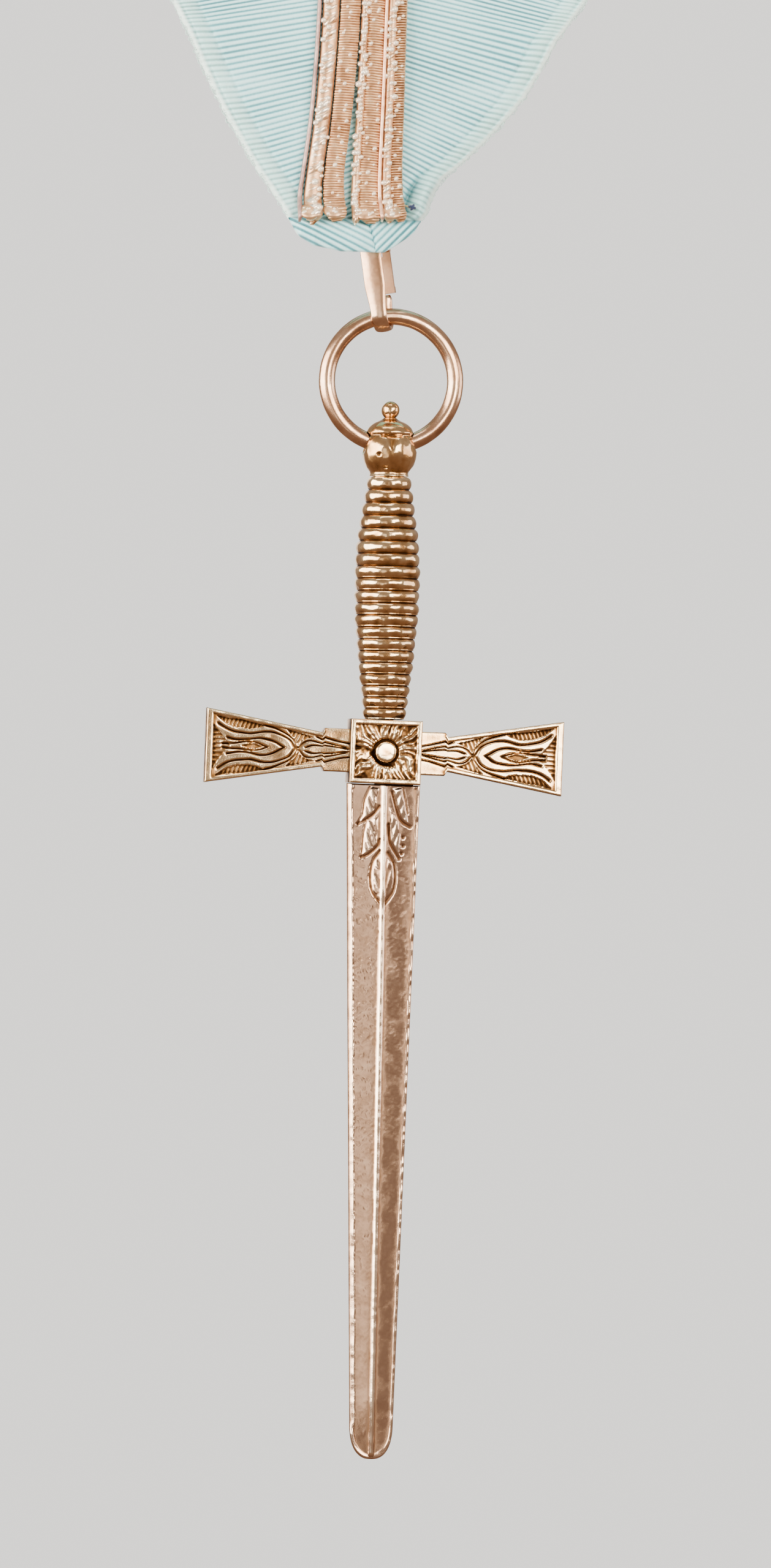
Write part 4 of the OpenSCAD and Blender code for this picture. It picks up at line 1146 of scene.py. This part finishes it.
def flat_ring(outer, inner, thick, middle, axis):
    """A flat ring; its axis is 0 for x and 1 for y."""
    turn = circle(FLAT_RING_SIDES)
    edge, half = FLAT_RING_EDGE, thick / 2
    steps = [(inner + edge, half), (outer - edge, half), (outer, half - edge), (outer, edge - half),
             (outer - edge, -half), (inner + edge, -half), (inner, edge - half), (inner, half - edge)]
    rings = np.zeros((FLAT_RING_SIDES, len(steps), 3))
    flat = [i for i in range(3) if i != axis]
    for k, (r, a) in enumerate(steps):
        rings[:, k, flat[0]] = r * np.cos(turn)
        rings[:, k, flat[1]] = r * np.sin(turn)
        rings[:, k, axis] = a
    quads = grid_faces(FLAT_RING_SIDES + 1, len(steps), wrap=True) % (FLAT_RING_SIDES * len(steps))
    return make_piece("ring", at_hook(rings.reshape(-1, 3) + middle), quads, POLISHED)


eye = flat_ring(EYE_R, EYE_HOLE_R, EYE_T, [0, -HOOK_INNER - HOOK_T + EYE_T / 2, EYE_Z], 1)
lug = flat_ring(LUG_R, PIN_HOLE_R, LUG_W, [0, LEG_MID, PIN_H], 0)
dress(join("rolled_hook", [make_strip(), eye, lug]), "collar", "fittings", "spring_hook")

gate = frame["nodes"]["hook_gate"]
gate.data.materials.clear()
gate.data.materials.append(DULLED)
soft = gate.modifiers.new("rounded", "BEVEL")
soft.width = 0.06 * MM
soft.segments = 2

# %% [markdown]
# ## Cast relief
# The guard and the blade are castings, so all their ornament is one skin that rises and falls. Each is
# made as a height field: a fine grid on the front, a coarse one on the back, closed round the edges.
# Grooves are drawn as curves, and the dirt number comes from how far a point lies below its
# neighbourhood, as dirt gathers where a polishing cloth doesn't reach.

# %% Helpers for cast relief
BACK_COLUMNS = 18


def dirt_of(height, rounds=70, gain=4.5):
    """How deep each point lies below its surroundings, 0.5 where it is level."""
    return unit(0.5 + (blurred(height, rounds) - height) * gain)


def pebbles(points, size, seed):
    """Worm-like cast skin from 0 to 1."""
    ridged = 1 - np.abs(lattice_noise(points, size, seed)) * 2
    return 0.5 * ridged + 0.5 * (0.5 + 0.5 * lattice_noise(points, size * 0.45, seed + 3))


def relief_solid(name, across, along, front, back, place, material):
    """A closed casting. across, along and front are grids of mm; back is the depth of its plain rear."""
    rear = np.linspace(0, across.shape[1] - 1, BACK_COLUMNS).round().astype(int)[::-1]
    dirt = dirt_of(-front)
    skins = [np.stack([across, front, along], -1),
             np.stack([across[:, rear], back[:, rear], along[:, rear]], -1)]
    hollow = np.concatenate([dirt, np.full((len(dirt), BACK_COLUMNS), 0.5)], axis=1)
    points, faces = loft(place(np.concatenate(skins, axis=1)))
    return make_piece(name, points, faces, material, {"hollow": hollow}, sharp_deg=50)


# %% [markdown]
# ## Grip and pommel
# Both were turned before they were moulded, so each is a profile spun round the dagger's axis, with a
# little unevenness from casting. The grip has twenty soft rings, most with a fine second line.

# %% Turned pieces
POMMEL_R = 2.7
BEAD_R = 0.9
BEAD_H = 3.27
POMMEL_UP = 2.4
POMMEL_LOW = 3.3
BORE_R = 1.2
BORE_SIDES = 48
GRIP_L = 24.1
GRIP_R = 3.25
GRIP_RINGS = 20
STEPS_PER_RING = 24
RING_CROWDING = 0.08
SEAT_GAP = 0.05
SEAT_R = 0.95
CAP_H = 0.62
GRIP_TOP = -POMMEL_LOW - SEAT_GAP
# Profiles as shares: [radius, height] of the pommel's body, [length, radius] of the grip
POMMEL_ROWS = np.array([
    [0.33, 0.96], [0.59, 0.83], [0.78, 0.65], [0.86, 0.46], [0.85, 0.36], [0.83, 0.29], [0.91, 0.13],
    [0.98, -0.09], [1, -0.29], [0.97, -0.48], [0.89, -0.65], [0.78, -0.79], [0.70, -0.89], [0.72, -1]])
GRIP_ROWS = np.array([
    [0, 0.655], [0.1, 0.77], [0.2, 0.89], [0.31, 0.985], [0.41, 1], [0.56, 0.99], [0.66, 0.92],
    [0.77, 0.855], [0.88, 0.75], [1, 0.64]])


def turned_piece(name, radii, heights, sides, unevenness, seed, dirt_gain, marks=None):
    """A profile spun round the dagger's axis, from top to bottom, with its hollows marked."""
    angle = circle(sides)[None]
    r = np.asarray(radii)[:, None]
    z = np.broadcast_to(np.asarray(heights)[:, None], (len(radii), sides))
    at = np.stack([r * np.cos(angle), r * np.sin(angle), z], -1)
    uneven = unevenness * (lattice_noise(at, 1.1, seed) + 0.5 * lattice_noise(at, 0.45, seed + 1))
    grown = r + uneven * unit(r / 0.5)
    if marks:
        grown = grown - marks((angle + math.pi / 2 + math.pi) % (2 * math.pi) - math.pi, z)
    hollow = dirt_of(grown, 60, dirt_gain)
    rings = np.stack([grown * np.cos(angle), grown * np.sin(angle), z], -1) + BORE
    return make_piece(name, *loft(rings, flip=True), BRASS, {"hollow": hollow})


def pommel_profile():
    top = [(BEAD_R * math.sin(a), BEAD_H + BEAD_R * math.cos(a)) for a in np.linspace(0.05, 2.55, 26)]
    neck = [(0.62, POMMEL_UP + 0.12), (0.75, POMMEL_UP)]
    body = [(r * POMMEL_R, h * (POMMEL_UP if h > 0 else POMMEL_LOW)) for r, h in POMMEL_ROWS]
    return np.vstack([top, smooth_line(neck + body), [[SEAT_R, -POMMEL_LOW]]])


def pommel_marks(turn, z):
    """Cast marks, turn being 0 in front: a wedge under the cap, a slit along the cap, a pit and a scar."""
    drop = unit((CAP_H - z) / 1.35)
    wedge = np.clip(1.3 - np.abs(turn) / (0.24 * (1 - drop) + 0.02), 0, 1) * (z < CAP_H) * (z > -0.75)
    slit = bell(z, CAP_H, 0.11) * (np.abs(turn) < 0.5)
    pit = bell(turn * POMMEL_R, -0.5 * POMMEL_R, 0.14) * bell(z, -1.2, 0.14)
    scar = bell(turn * POMMEL_R, -0.28 * POMMEL_R, 0.35) * bell(z, -2.5, 0.16)
    return 0.20 * wedge + 0.13 * slit + 0.22 * pit + 0.16 * scar


def drill(piece, centre, radius, length):
    """Drills a hole along X through a piece."""
    bpy.ops.mesh.primitive_cylinder_add(vertices=BORE_SIDES, radius=radius * MM, depth=length * MM,
                                        location=Vector(centre) * MM, rotation=(0, math.pi / 2, 0))
    drill_bit = bpy.context.object
    drill_bit.data.materials.append(BRASS)
    cut = piece.modifiers.new("bore", "BOOLEAN")
    cut.object = drill_bit
    cut.solver = "EXACT"
    graph = bpy.context.evaluated_depsgraph_get()
    piece.data = bpy.data.meshes.new_from_object(piece.evaluated_get(graph))
    piece.modifiers.clear()
    bpy.data.objects.remove(drill_bit)


profile = pommel_profile()
pommel = turned_piece("turned_pommel", profile[:, 0], profile[:, 1], 144, 0.05, 11, 1.2, pommel_marks)
drill(pommel, BORE, BORE_R, 4 * POMMEL_R)
dress(pommel, "dagger", "casting", "pommel")


def grip_profile():
    t = np.linspace(0, 1, GRIP_RINGS * STEPS_PER_RING)
    ring_at = np.arange(GRIP_RINGS + 1) / GRIP_RINGS
    ring_share = ring_at * (1 + RING_CROWDING * (1 - ring_at))
    within = np.interp(t, ring_share, np.arange(GRIP_RINGS + 1)) % 1
    bulge = np.sin(math.pi * within ** 0.86) ** 0.55
    second = bell(within, 0.94, 0.04) * unit((t - 0.25) * 3)
    r = GRIP_R * np.interp(t, GRIP_ROWS[:, 0], GRIP_ROWS[:, 1]) - 0.38 * (1 - bulge) + 0.15 * second
    return np.concatenate([[SEAT_R], r, [SEAT_R]]), GRIP_TOP - GRIP_L * np.concatenate([[0], t, [1]])


dress(turned_piece("turned_grip", *grip_profile(), 120, 0.06, 21, 2.8), "dagger", "casting", "grip")

# %% [markdown]
# ## Cross guard
# The block carries a button with rays round it. Each arm is a fan with an engraved scroll: two parallel
# bands that meet in a nose, an eye behind it, a tulip in front of it, and grained corners. The curves
# are drawn on one half of an arm as (share of its length, share of its half height) and mirrored.

# %% Sizes and engraved lines of the guard
BLOCK_W = 7.1
BLOCK_H = 6.35
BLOCK_D = 4.4
GUARD_HALF = 17.8
GUARD_LEAN = math.radians(1.2)
ARM_T = 2.4
ARM_END_H = 7.4
ARM_NECK_H = 3.4
STEP_H = 4.3
STEP_L = 2.7
STEP_SLOPE = 0.25
RIM_W = 0.38
END_RIM = 0.65
RELIEF = 0.22
BUTTON_R = 1.07
LEAF_COUNT = 12
CAST_STEP = 0.07
NECK_X = BLOCK_W / 2 + STEP_L
BLOCK_MID = GRIP_TOP - GRIP_L - SEAT_GAP - BLOCK_H / 2
# The arms came out of the mould a little swept back, the left one more
ARM_SWEEP = {-1: 0.024, 1: 0.012}

SCROLL_LINES = [
    [(0.52, 0.95), (0.41, 0.86), (0.32, 0.70), (0.25, 0.36), (0.225, 0.0)],
    [(0.94, 0.70), (0.82, 0.52), (0.66, 0.50), (0.52, 0.66), (0.40, 0.65), (0.30, 0.43), (0.245, 0.0)],
    [(0.86, 0.26), (0.76, 0.22), (0.65, 0.28), (0.55, 0.36), (0.44, 0.28), (0.35, 0.0)],
    [(0.90, 0.06), (0.78, 0.10), (0.66, 0.17), (0.58, 0.14), (0.50, 0.0)]]
CORNER_LENS = [
    (0.97, 0.93), (0.88, 0.74), (0.77, 0.64), (0.66, 0.67), (0.57, 0.80), (0.52, 0.97), (0.75, 0.97)]
EYE = [(0.74, 0.0), (0.68, 0.09), (0.61, 0.13), (0.54, 0.0), (0.61, -0.13), (0.68, -0.09)]
END_FAN = [(1.0, 0.72), (0.90, 0.30), (0.82, 0.0), (0.90, -0.30), (1.0, -0.72)]
WAIST_CORNER = [(0.08, 0.80), (0.33, 0.97), (0.27, 0.60), (0.215, 0.14), (0.17, 0.50)]
TULIP_LINES = [
    [(0.21, 0.06), (0.16, 0.42), (0.09, 0.56), (-0.02, 0.44), (-0.22, 0.14)],
    [(0.15, 0.12), (0.08, 0.28), (-0.03, 0.24), (-0.24, 0.07)],
    [(0.04, 0.86), (-0.05, 0.66), (-0.16, 0.46), (-0.26, 0.36)]]
GOUGE = [(-3.1, 0.35), (-2.3, 0.1), (-1.3, -0.25), (-0.4, -1.0), (0.7, -1.25)]


def arm_outline_half(x):
    fan = ARM_NECK_H / 2 + (x - NECK_X) / (GUARD_HALF - NECK_X) * (ARM_END_H - ARM_NECK_H) / 2
    slope = unit((NECK_X - x) / STEP_SLOPE)
    return np.where(x > NECK_X, fan, ARM_NECK_H / 2 + slope * (STEP_H - ARM_NECK_H) / 2)


def arm_relief(u, v, x, z, seed):
    """Height of an arm's front above its sunk field, in mm."""
    at = np.stack([x, 0 * x, z], -1)
    u = u + 0.010 * lattice_noise(at, 1.6, seed)
    v = v + 0.045 * lattice_noise(at, 1.4, seed + 1)
    length = GUARD_HALF - END_RIM - NECK_X
    # heights are drawn as shares too, so this makes one unit the same length both ways
    stretch = np.array([1, ARM_END_H / 2 / length])
    v, w = v * stretch[1], np.abs(v) * stretch[1]
    height = 0.15 + 0.012 * lattice_noise(at, 0.9, seed + 2)
    ticks = 0.5 + 0.5 * np.sin(2 * math.pi * (x * 1.2 + z * 0.5) / 0.5)
    for outline in (CORNER_LENS, WAIST_CORNER):
        height = height - pillow(outline * stretch, u, w, 0.02) * (0.10 + 0.06 * ticks)
    fan = 0.06 + 0.05 * (0.5 + 0.5 * np.sin(2 * math.pi * z / 0.45))
    height = height - pillow(END_FAN * stretch, u, v, 0.02) * fan
    height = height - 0.16 * pillow(EYE * stretch, u, v, 0.02)
    for line in SCROLL_LINES + TULIP_LINES:
        height = height - 0.17 * cut_line(line * stretch, u, w, 0.27 / length)
    return height


def rounded_edge(gap, radius=0.14):
    """How far an edge is rounded back, gap from the outline."""
    return radius - np.sqrt(np.clip(radius ** 2 - np.clip(radius - gap, 0, radius) ** 2, 0, None))


def edged(share, gap):
    """1 in a rim, 0 inside it, with a steep flank between, from how far gap is short of the rim."""
    return unit((share - gap) / 0.1 + 0.5)


def make_arm(side, seed):
    x = np.arange(BLOCK_W / 2 - 0.3, GUARD_HALF, CAST_STEP)
    x = np.concatenate([x[:-1], [GUARD_HALF - 0.1, GUARD_HALF - 0.03, GUARD_HALF]])[:, None]
    half = arm_outline_half(x)
    share = np.concatenate([[-1, -0.992, -0.975], np.linspace(-0.95, 0.95, 88), [0.975, 0.992, 1]])[None]
    z = share * half
    x = np.broadcast_to(x, z.shape)
    u = (x - NECK_X) / (GUARD_HALF - END_RIM - NECK_X)
    side_gap, end_gap = half - np.abs(z), GUARD_HALF - x
    rim = np.maximum(edged(RIM_W, side_gap), edged(END_RIM, end_gap)) * (u > -0.02)
    wear = 0.015 * lattice_noise(np.stack([x, 0 * x, z], -1), 0.8, seed + 9)
    top = rim * (RELIEF + 0.04 + wear) + (1 - rim) * arm_relief(u, z / (half - RIM_W), x, z, seed)
    edge = rounded_edge(np.minimum(side_gap, end_gap))
    front = -(ARM_T / 2 - RELIEF) - top + edge + ARM_SWEEP[side] * (x - BLOCK_W / 2)
    return relief_solid("arm", side * x, z, front, ARM_T / 2 - edge, place_guard, BRASS)


def place_guard(points):
    """Guard's own frame to space: it leans a little on the grip."""
    x, y, z = points[..., 0], points[..., 1], points[..., 2]
    c, s = math.cos(GUARD_LEAN), math.sin(GUARD_LEAN)
    return np.stack([x * c + z * s, y, z * c - x * s + BLOCK_MID], -1) + BORE


def make_block():
    """Block with its button and rays."""
    half_w, half_h = BLOCK_W / 2, BLOCK_H / 2
    x = np.concatenate([[-half_w, -half_w + 0.03, -half_w + 0.1],
                        np.arange(-half_w + 0.16, half_w - 0.12, CAST_STEP),
                        [half_w - 0.1, half_w - 0.03, half_w]])[:, None]
    share = np.concatenate([[-1, -0.99, -0.97], np.linspace(-0.95, 0.95, 80), [0.97, 0.99, 1]])[None]
    z = np.broadcast_to(share * half_h, (len(x), share.shape[1]))
    x = np.broadcast_to(x, z.shape)
    at = np.stack([x, 0 * x, z], -1)
    gap = np.minimum(half_w - np.abs(x), half_h - np.abs(z))
    rim = edged(1.25 * RIM_W, gap)
    r = np.hypot(x, z)
    bent = np.arctan2(z, x) + 0.30 * lattice_noise(at, 1.3, 41)
    uneven = np.clip(0.7 + 0.6 * lattice_noise(at, 1.1, 46), 0.2, 1)
    rays = (0.5 + 0.5 * np.cos(LEAF_COUNT * bent)) * uneven
    fine = 0.5 + 0.5 * np.cos(2.5 * LEAF_COUNT * bent + 1.6 * lattice_noise(at, 0.8, 44))
    out = unit((r - BUTTON_R - 0.15) / 0.5)
    field = 0.02 + out * (0.09 * rays ** 0.7 + 0.08 * fine) + 0.06 * pebbles(at, 0.45, 42)
    field = field - 0.24 * cut_line(GOUGE, x, z, 0.62) - 0.12 * bell(r, BUTTON_R + 0.1, 0.13)
    button = unit((BUTTON_R + 0.04 * lattice_noise(at, 0.5, 43) - r) / 0.25)
    dome = 0.36 - 0.03 * (r / BUTTON_R) ** 2 - 0.08 * x
    domed = np.sqrt(1 - (1 - button) ** 2) * dome + 0.01 * lattice_noise(at, 0.32, 45)
    field = np.where(button > 0, np.maximum(field, domed), field)
    top = rim * (RELIEF + 0.03 + 0.015 * lattice_noise(at, 0.8, 47)) + (1 - rim) * field
    front = -(BLOCK_D / 2 - RELIEF) - top + rounded_edge(gap)
    return relief_solid("block", x, z, front, BLOCK_D / 2 - rounded_edge(gap), place_guard, BRASS)


guard = join("cast_guard", [make_block(), make_arm(-1, 61), make_arm(1, 71)])
dress(guard, "dagger", "casting", "cross_guard")

# %% [markdown]
# ## Blade
# A blade this small was cast with the guard's pattern: four sloping faces, a raised ridge down the
# middle, thin raised rims, and leaves engraved below the guard. The faces keep the pebbled skin of the
# mould, and the rims and the ridge are the places that were filed bright.

# %% Sizes and engraved leaves of the blade
BLADE_L = 66.95
BLADE_W = 7.3
BLADE_TIP_W = 4.3
POINT_L = 3.8
POINT_START = BLADE_L - POINT_L
BLADE_T = 2.9
BLADE_EDGE_T = 0.9
RIDGE_W = 0.45
RIDGE_H = 0.2
RIM_PROUD = 0.15
TANG_D = 1.8
TANG_IN = 1.2
TIP_POWER = 2.5
TIP_ROWS = 34
BLADE_STEP = 0.088
LEAVES_L = 14
SKIN_DEPTHS = (0.036, 0.014)
SKIN_SIZE = 0.38
# Share of the rim's width on the left and on the right edge
RIM_SHARES = (1.3, 0.9)
BLADE_TOP = BLOCK_MID - BLOCK_H / 2 - SEAT_GAP - BLOCK_W / 2 * math.tan(GUARD_LEAN)
FACE_EDGE = BLADE_EDGE_T / 2 - RIM_PROUD
FACE_RISE = (BLADE_T / 2 - RIDGE_H - FACE_EDGE) / (BLADE_W / 2)

# Engraved lines below the guard, as [x, length down the blade] in mm, with the line's width
LEAF_LINES = [
    ([(-1.35, 0.3), (-1.92, 1.6), (-2.08, 2.9), (-2.55, 3.9)], 0.16),
    ([(-2.55, 3.9), (-1.62, 3.35), (-0.95, 2.8), (-0.45, 2.1)], 0.24),
    ([(-1.70, 3.6), (-1.97, 5.0), (-2.05, 6.2), (-2.16, 7.2)], 0.16),
    ([(-2.16, 7.2), (-1.40, 6.85), (-0.60, 6.1), (-0.35, 5.4)], 0.24),
    ([(-0.30, 6.5), (-0.98, 7.6), (-1.22, 9.1), (-1.00, 10.6), (-0.12, 11.8)], 0.22),
    ([(0.50, 6.7), (1.12, 7.8), (1.26, 9.3), (0.98, 10.7), (0.20, 11.8)], 0.24),
    ([(1.90, 0.3), (2.20, 1.6), (2.42, 2.8)], 0.14),
    ([(0.80, 0.7), (1.28, 2.4), (1.76, 3.5), (2.70, 4.1)], 0.26),
    ([(0.52, 3.9), (0.70, 5.7), (1.62, 7.3)], 0.28)]
# Raised leaf bodies, in the same places
LEAF_BODIES = [
    [(-1.35, 0.3), (-1.90, 1.6), (-2.05, 2.9), (-2.45, 3.8), (-1.6, 3.3), (-0.9, 2.7), (-0.5, 0.4)],
    [(-1.65, 3.7), (-1.95, 5.0), (-2.0, 6.2), (-2.1, 7.1), (-1.4, 6.8), (-0.6, 6.0), (-0.5, 3.0)],
    [(-0.15, 6.4), (-0.95, 7.7), (-1.15, 9.1), (-0.95, 10.5), (0.0, 11.7), (0.95, 10.6), (1.2, 9.2),
     (1.0, 7.7)],
    [(0.85, 0.4), (1.35, 2.4), (1.8, 3.4), (2.6, 4.0), (2.35, 2.8), (2.1, 1.6), (1.8, 0.3)],
    [(0.55, 2.2), (0.60, 4.0), (0.80, 5.6), (1.6, 7.2), (1.75, 5.0), (1.5, 3.6)]]
PUNCHED = [(1.98, 5.15), (2.0, 6.0), (1.85, 6.75)]
PLAIN_CORNERS = [[(-3.2, 0.3), (-1.45, 0.3), (-2.0, 1.6), (-2.2, 2.6), (-3.2, 1.9)],
                 [(3.2, 0.3), (2.0, 0.3), (2.35, 1.4), (3.2, 1.2)]]


def blade_half(length):
    return (BLADE_W + (BLADE_TIP_W - BLADE_W) * length / POINT_START) / 2


def blade_outline_half(length):
    """Half width with the rounded point."""
    beyond = unit((length - POINT_START) / POINT_L)
    tip = blade_half(POINT_START) * (1 - beyond ** TIP_POWER) ** (1 / TIP_POWER)
    return np.where(length < POINT_START, blade_half(length), tip)


def cast_skin(x, length):
    """The pebbled skin: rougher on the left face than on the right one, smoother towards the point."""
    depth = np.where(x < 0, *SKIN_DEPTHS) * np.clip(1.3 - length / 60, 0.3, 1)
    return depth * (pebbles(np.stack([x, 0 * x, length], -1), SKIN_SIZE, 81) - 0.5)


def blade_relief(x, length):
    """Height of the leaves and the cast skin above the plain face."""
    plain = np.maximum(*(pillow(np.array(corner), x, length, 0.15) for corner in PLAIN_CORNERS))
    height = cast_skin(x, length) * (1 - plain) * unit(0.35 + length / 14)
    veins = np.sin(2 * math.pi * (length * 0.42 + np.abs(x) * 1.1) / 0.75)
    for body in LEAF_BODIES:
        height = height + pillow(np.array(body), x, length, 0.45) * (0.09 + 0.02 * veins)
    for line, width in LEAF_LINES:
        height = height - (0.02 + 0.5 * width) * cut_line(line, x, length, width)
    for px, pl in PUNCHED:
        height = height - 0.2 * bell(np.hypot(x - px, length - pl), 0, 0.14)
    return height


def make_blade():
    tip = BLADE_L - POINT_L * (1 - np.sin(np.linspace(0, math.pi / 2, TIP_ROWS)[1:-1]))
    length = np.concatenate([[0, 0.03, 0.1], np.arange(0.18, POINT_START, BLADE_STEP), tip,
                             [BLADE_L - 0.004, BLADE_L - 0.0005]])[:, None]
    share = np.concatenate([[-1, -0.99, -0.972], np.linspace(-0.95, 0.95, 78), [0.972, 0.99, 1]])[None]
    outline = blade_outline_half(length)
    x = share * outline
    length = np.broadcast_to(length, x.shape)
    at = np.stack([x, 0 * x, length], -1)
    across = outline - np.abs(x)
    side_gap = np.minimum(across, length)
    beyond = unit((length - POINT_START) / POINT_L)
    tip_r = (np.abs(x / blade_half(POINT_START)) ** TIP_POWER + beyond ** TIP_POWER) ** (1 / TIP_POWER)
    gap = np.where(length > POINT_START, np.minimum(side_gap, (1 - tip_r) * 2.4), side_gap)
    gap = np.clip(gap, 0, None)
    width = RIM_W * np.where(x < 0, *RIM_SHARES) * (1 + 0.12 * lattice_noise(at, 0.9, 90))
    rim = unit((width - gap) / 0.09 + 0.5)
    rim = np.where((length < 1) & (across > length), rim * (length < 0.45), rim)
    slope = FACE_RISE * (blade_half(length) - np.abs(x))
    plain_face = FACE_EDGE + slope * (1 - 0.72 * unit((length - POINT_START + 2) / (POINT_L + 2)))
    leafed = length[:, 0] < LEAVES_L
    face = plain_face + np.concatenate([
        blade_relief(x[leafed], length[leafed]), cast_skin(x[~leafed], length[~leafed])])
    bitten = 0.015 + 0.04 * (x > 0) * np.clip(1.3 - length / 50, 0.2, 1)
    edge = BLADE_EDGE_T / 2 + 0.05 + bitten * lattice_noise(at * [0.4, 1, 1], 0.55, 92)
    # the left rim was filed slanting, but not across the top and only a little round the point
    rounded = unit(beyond * 3)
    slant = 0.30 * unit(1 - across / width) * (1 - rounded)
    dished = 0.22 * np.clip((gap / width - 0.3) / 0.7, -0.4, 1) ** 2 * rounded
    edge = edge - np.where(x < 0, slant + dished, 0.03)
    bead = np.sqrt(unit(1 - (x / (RIDGE_W / 2 + 0.06)) ** 2))
    bead = bead * (RIDGE_H + 0.02 * lattice_noise(at * [0.2, 1, 1], 0.6, 91))
    bead = bead * unit((BLADE_L - 0.3 - length) / 0.3) ** 0.5
    over_leaf = 0.14 * np.exp(-((length - 9.2) / 2.4) ** 4)
    ridge = np.where(bead > 0, plain_face + bead + over_leaf, 0)
    lip = np.where((x < 0) & (across < width), edge, np.maximum(edge, face))
    front = -np.maximum(rim * lip + (1 - rim) * face, ridge) + rounded_edge(gap, 0.12)
    back = np.maximum(FACE_EDGE + slope, (BLADE_EDGE_T / 2) * (gap < RIM_W))
    back = np.minimum(back, FACE_EDGE + FACE_RISE * (gap + 0.4))
    under_block = (BLOCK_W / 2 - x) * math.tan(GUARD_LEAN) * unit(1 - length / 2)
    z = BLADE_TOP - length + under_block
    skin = relief_solid("cast_blade", x, z, front, back, lambda ring: ring + BORE, PLATED)
    return join("cast_blade", [skin, make_tang()])


def make_tang():
    """The tang that runs up through guard and grip, with its shoulder just under the block."""
    shoulder = (3.0, 0.5)
    steps = [(BLADE_TOP - 0.4, *shoulder), (BLADE_TOP + 0.1, *shoulder),
             (BLADE_TOP + 0.1, TANG_D / 2, TANG_D / 2), (-POMMEL_LOW + TANG_IN, TANG_D / 2, TANG_D / 2)]
    rings = np.array([[(a * math.cos(t), b * math.sin(t), z) for t in circle(24)] for z, a, b in steps])
    points, faces = loft(rings + BORE, flip=True)
    # the tang gets a fixed hollow number near the dark end of the ramp, so its slivers in the gaps under the
    # block and at the grip's ends are painted as dark shade
    return make_piece("tang", points, faces, BRASS, {"hollow": np.full(len(points), 0.8)}, sharp_deg=40)


dress(make_blade(), "dagger", "casting", "blade")

# %% [markdown]
# ## Stage
# The jewel hangs over a plain pale floor in a pale room, with soft studio lights: windows at the left,
# in front and at the right, one above, and one behind for the back. A product photographer keeps the
# pale paper out of the metal's reflections with black flags. Here the floor and the seen room are left
# out of them.

# %% Stage and lights
FLOOR_Z = -900.0
FLOOR_HALF = 3000.0
AIM = Vector(RING_CENTRE + [0, 0, -40])
PALE = linear("#efece7")


def pale_paper():
    """Matt backdrop paper, a little self-lit so that it stays as pale as the room behind it."""
    material, add = new_material("pale paper")
    return finished(material, add, {"Base Color": linear("#f6f4f0"), "Roughness": 0.9, "Emission Color": PALE,
                                    "Emission Strength": 0.55})


def make_floor():
    corners = [(x, y, FLOOR_Z) for y in (-FLOOR_HALF, FLOOR_HALF) for x in (-FLOOR_HALF, FLOOR_HALF)]
    floor = make_piece("pale_floor", corners, grid_faces(2, 2), pale_paper())
    floor.visible_glossy = False


def soft_light(name, azimuth, elevation, distance, size, glow, colour):
    """A window of size in mm round the guard: azimuth runs from the front to the right."""
    a, e = math.radians(azimuth), math.radians(elevation)
    offset = Vector((math.sin(a) * math.cos(e), -math.cos(a) * math.cos(e), math.sin(e))) * distance
    data = bpy.data.lights.new(name, "AREA")
    data.shape = "RECTANGLE"
    data.size, data.size_y = (v * MM for v in size)
    data.energy = glow * math.pi * data.size * data.size_y
    data.color = linear(colour)[:3]
    light = in_scene(name, data)
    light.visible_camera = False
    light.location = (AIM + offset) * MM
    light.rotation_euler = (-offset).to_track_quat("-Z", "Y").to_euler()


def dim_room():
    """A room that mirrors dark below and warm grey above, and is seen as pale paper behind the jewel."""
    world = bpy.data.worlds.new("room")
    bpy.context.scene.world = world
    world.use_nodes = True
    tree = world.node_tree
    add = partial(add_node, tree)
    coords = add("ShaderNodeTexCoord", out="Generated")
    rise = add(RANGE, add("ShaderNodeSeparateXYZ", coords, out="Z"), -0.5, 0.15, 0.0, 1.0)
    mirrored = add(RAMP, rise, stops=[(0.0, "#a88670"), (1.0, "#c9b8ad")])
    seen = add("ShaderNodeLightPath", out="Is Camera Ray")
    shade = add(MIX, inputs={0: seen, 6: mirrored, 7: PALE}, out=2, data_type="RGBA")
    background = tree.nodes["Background"].inputs
    tree.links.new(shade, background["Color"])
    tree.links.new(add(RANGE, seen, 0, 1, 0.8, 1.75), background["Strength"])


make_floor()
soft_light("left window", -72, 10, 650, (900, 480), 13.0, "#fff6ea")
soft_light("low front window", 15, 3, 720, (240, 150), 14.0, "#fff4e6")
soft_light("high front window", 27, 19, 720, (480, 270), 14.0, "#fff4e6")
soft_light("fill", -22, -5, 720, (180, 340), 1.4, "#fff4e6")
soft_light("right window", 84, 8, 650, (480, 320), 4.0, "#ffeee6")
soft_light("top", -20, 72, 700, (420, 260), 5.0, "#fff8f0")
soft_light("back window", 184, 6, 700, (480, 420), 1.5, "#fff6ee")
dim_room()

# %% Update the scene
bpy.context.view_layer.update()
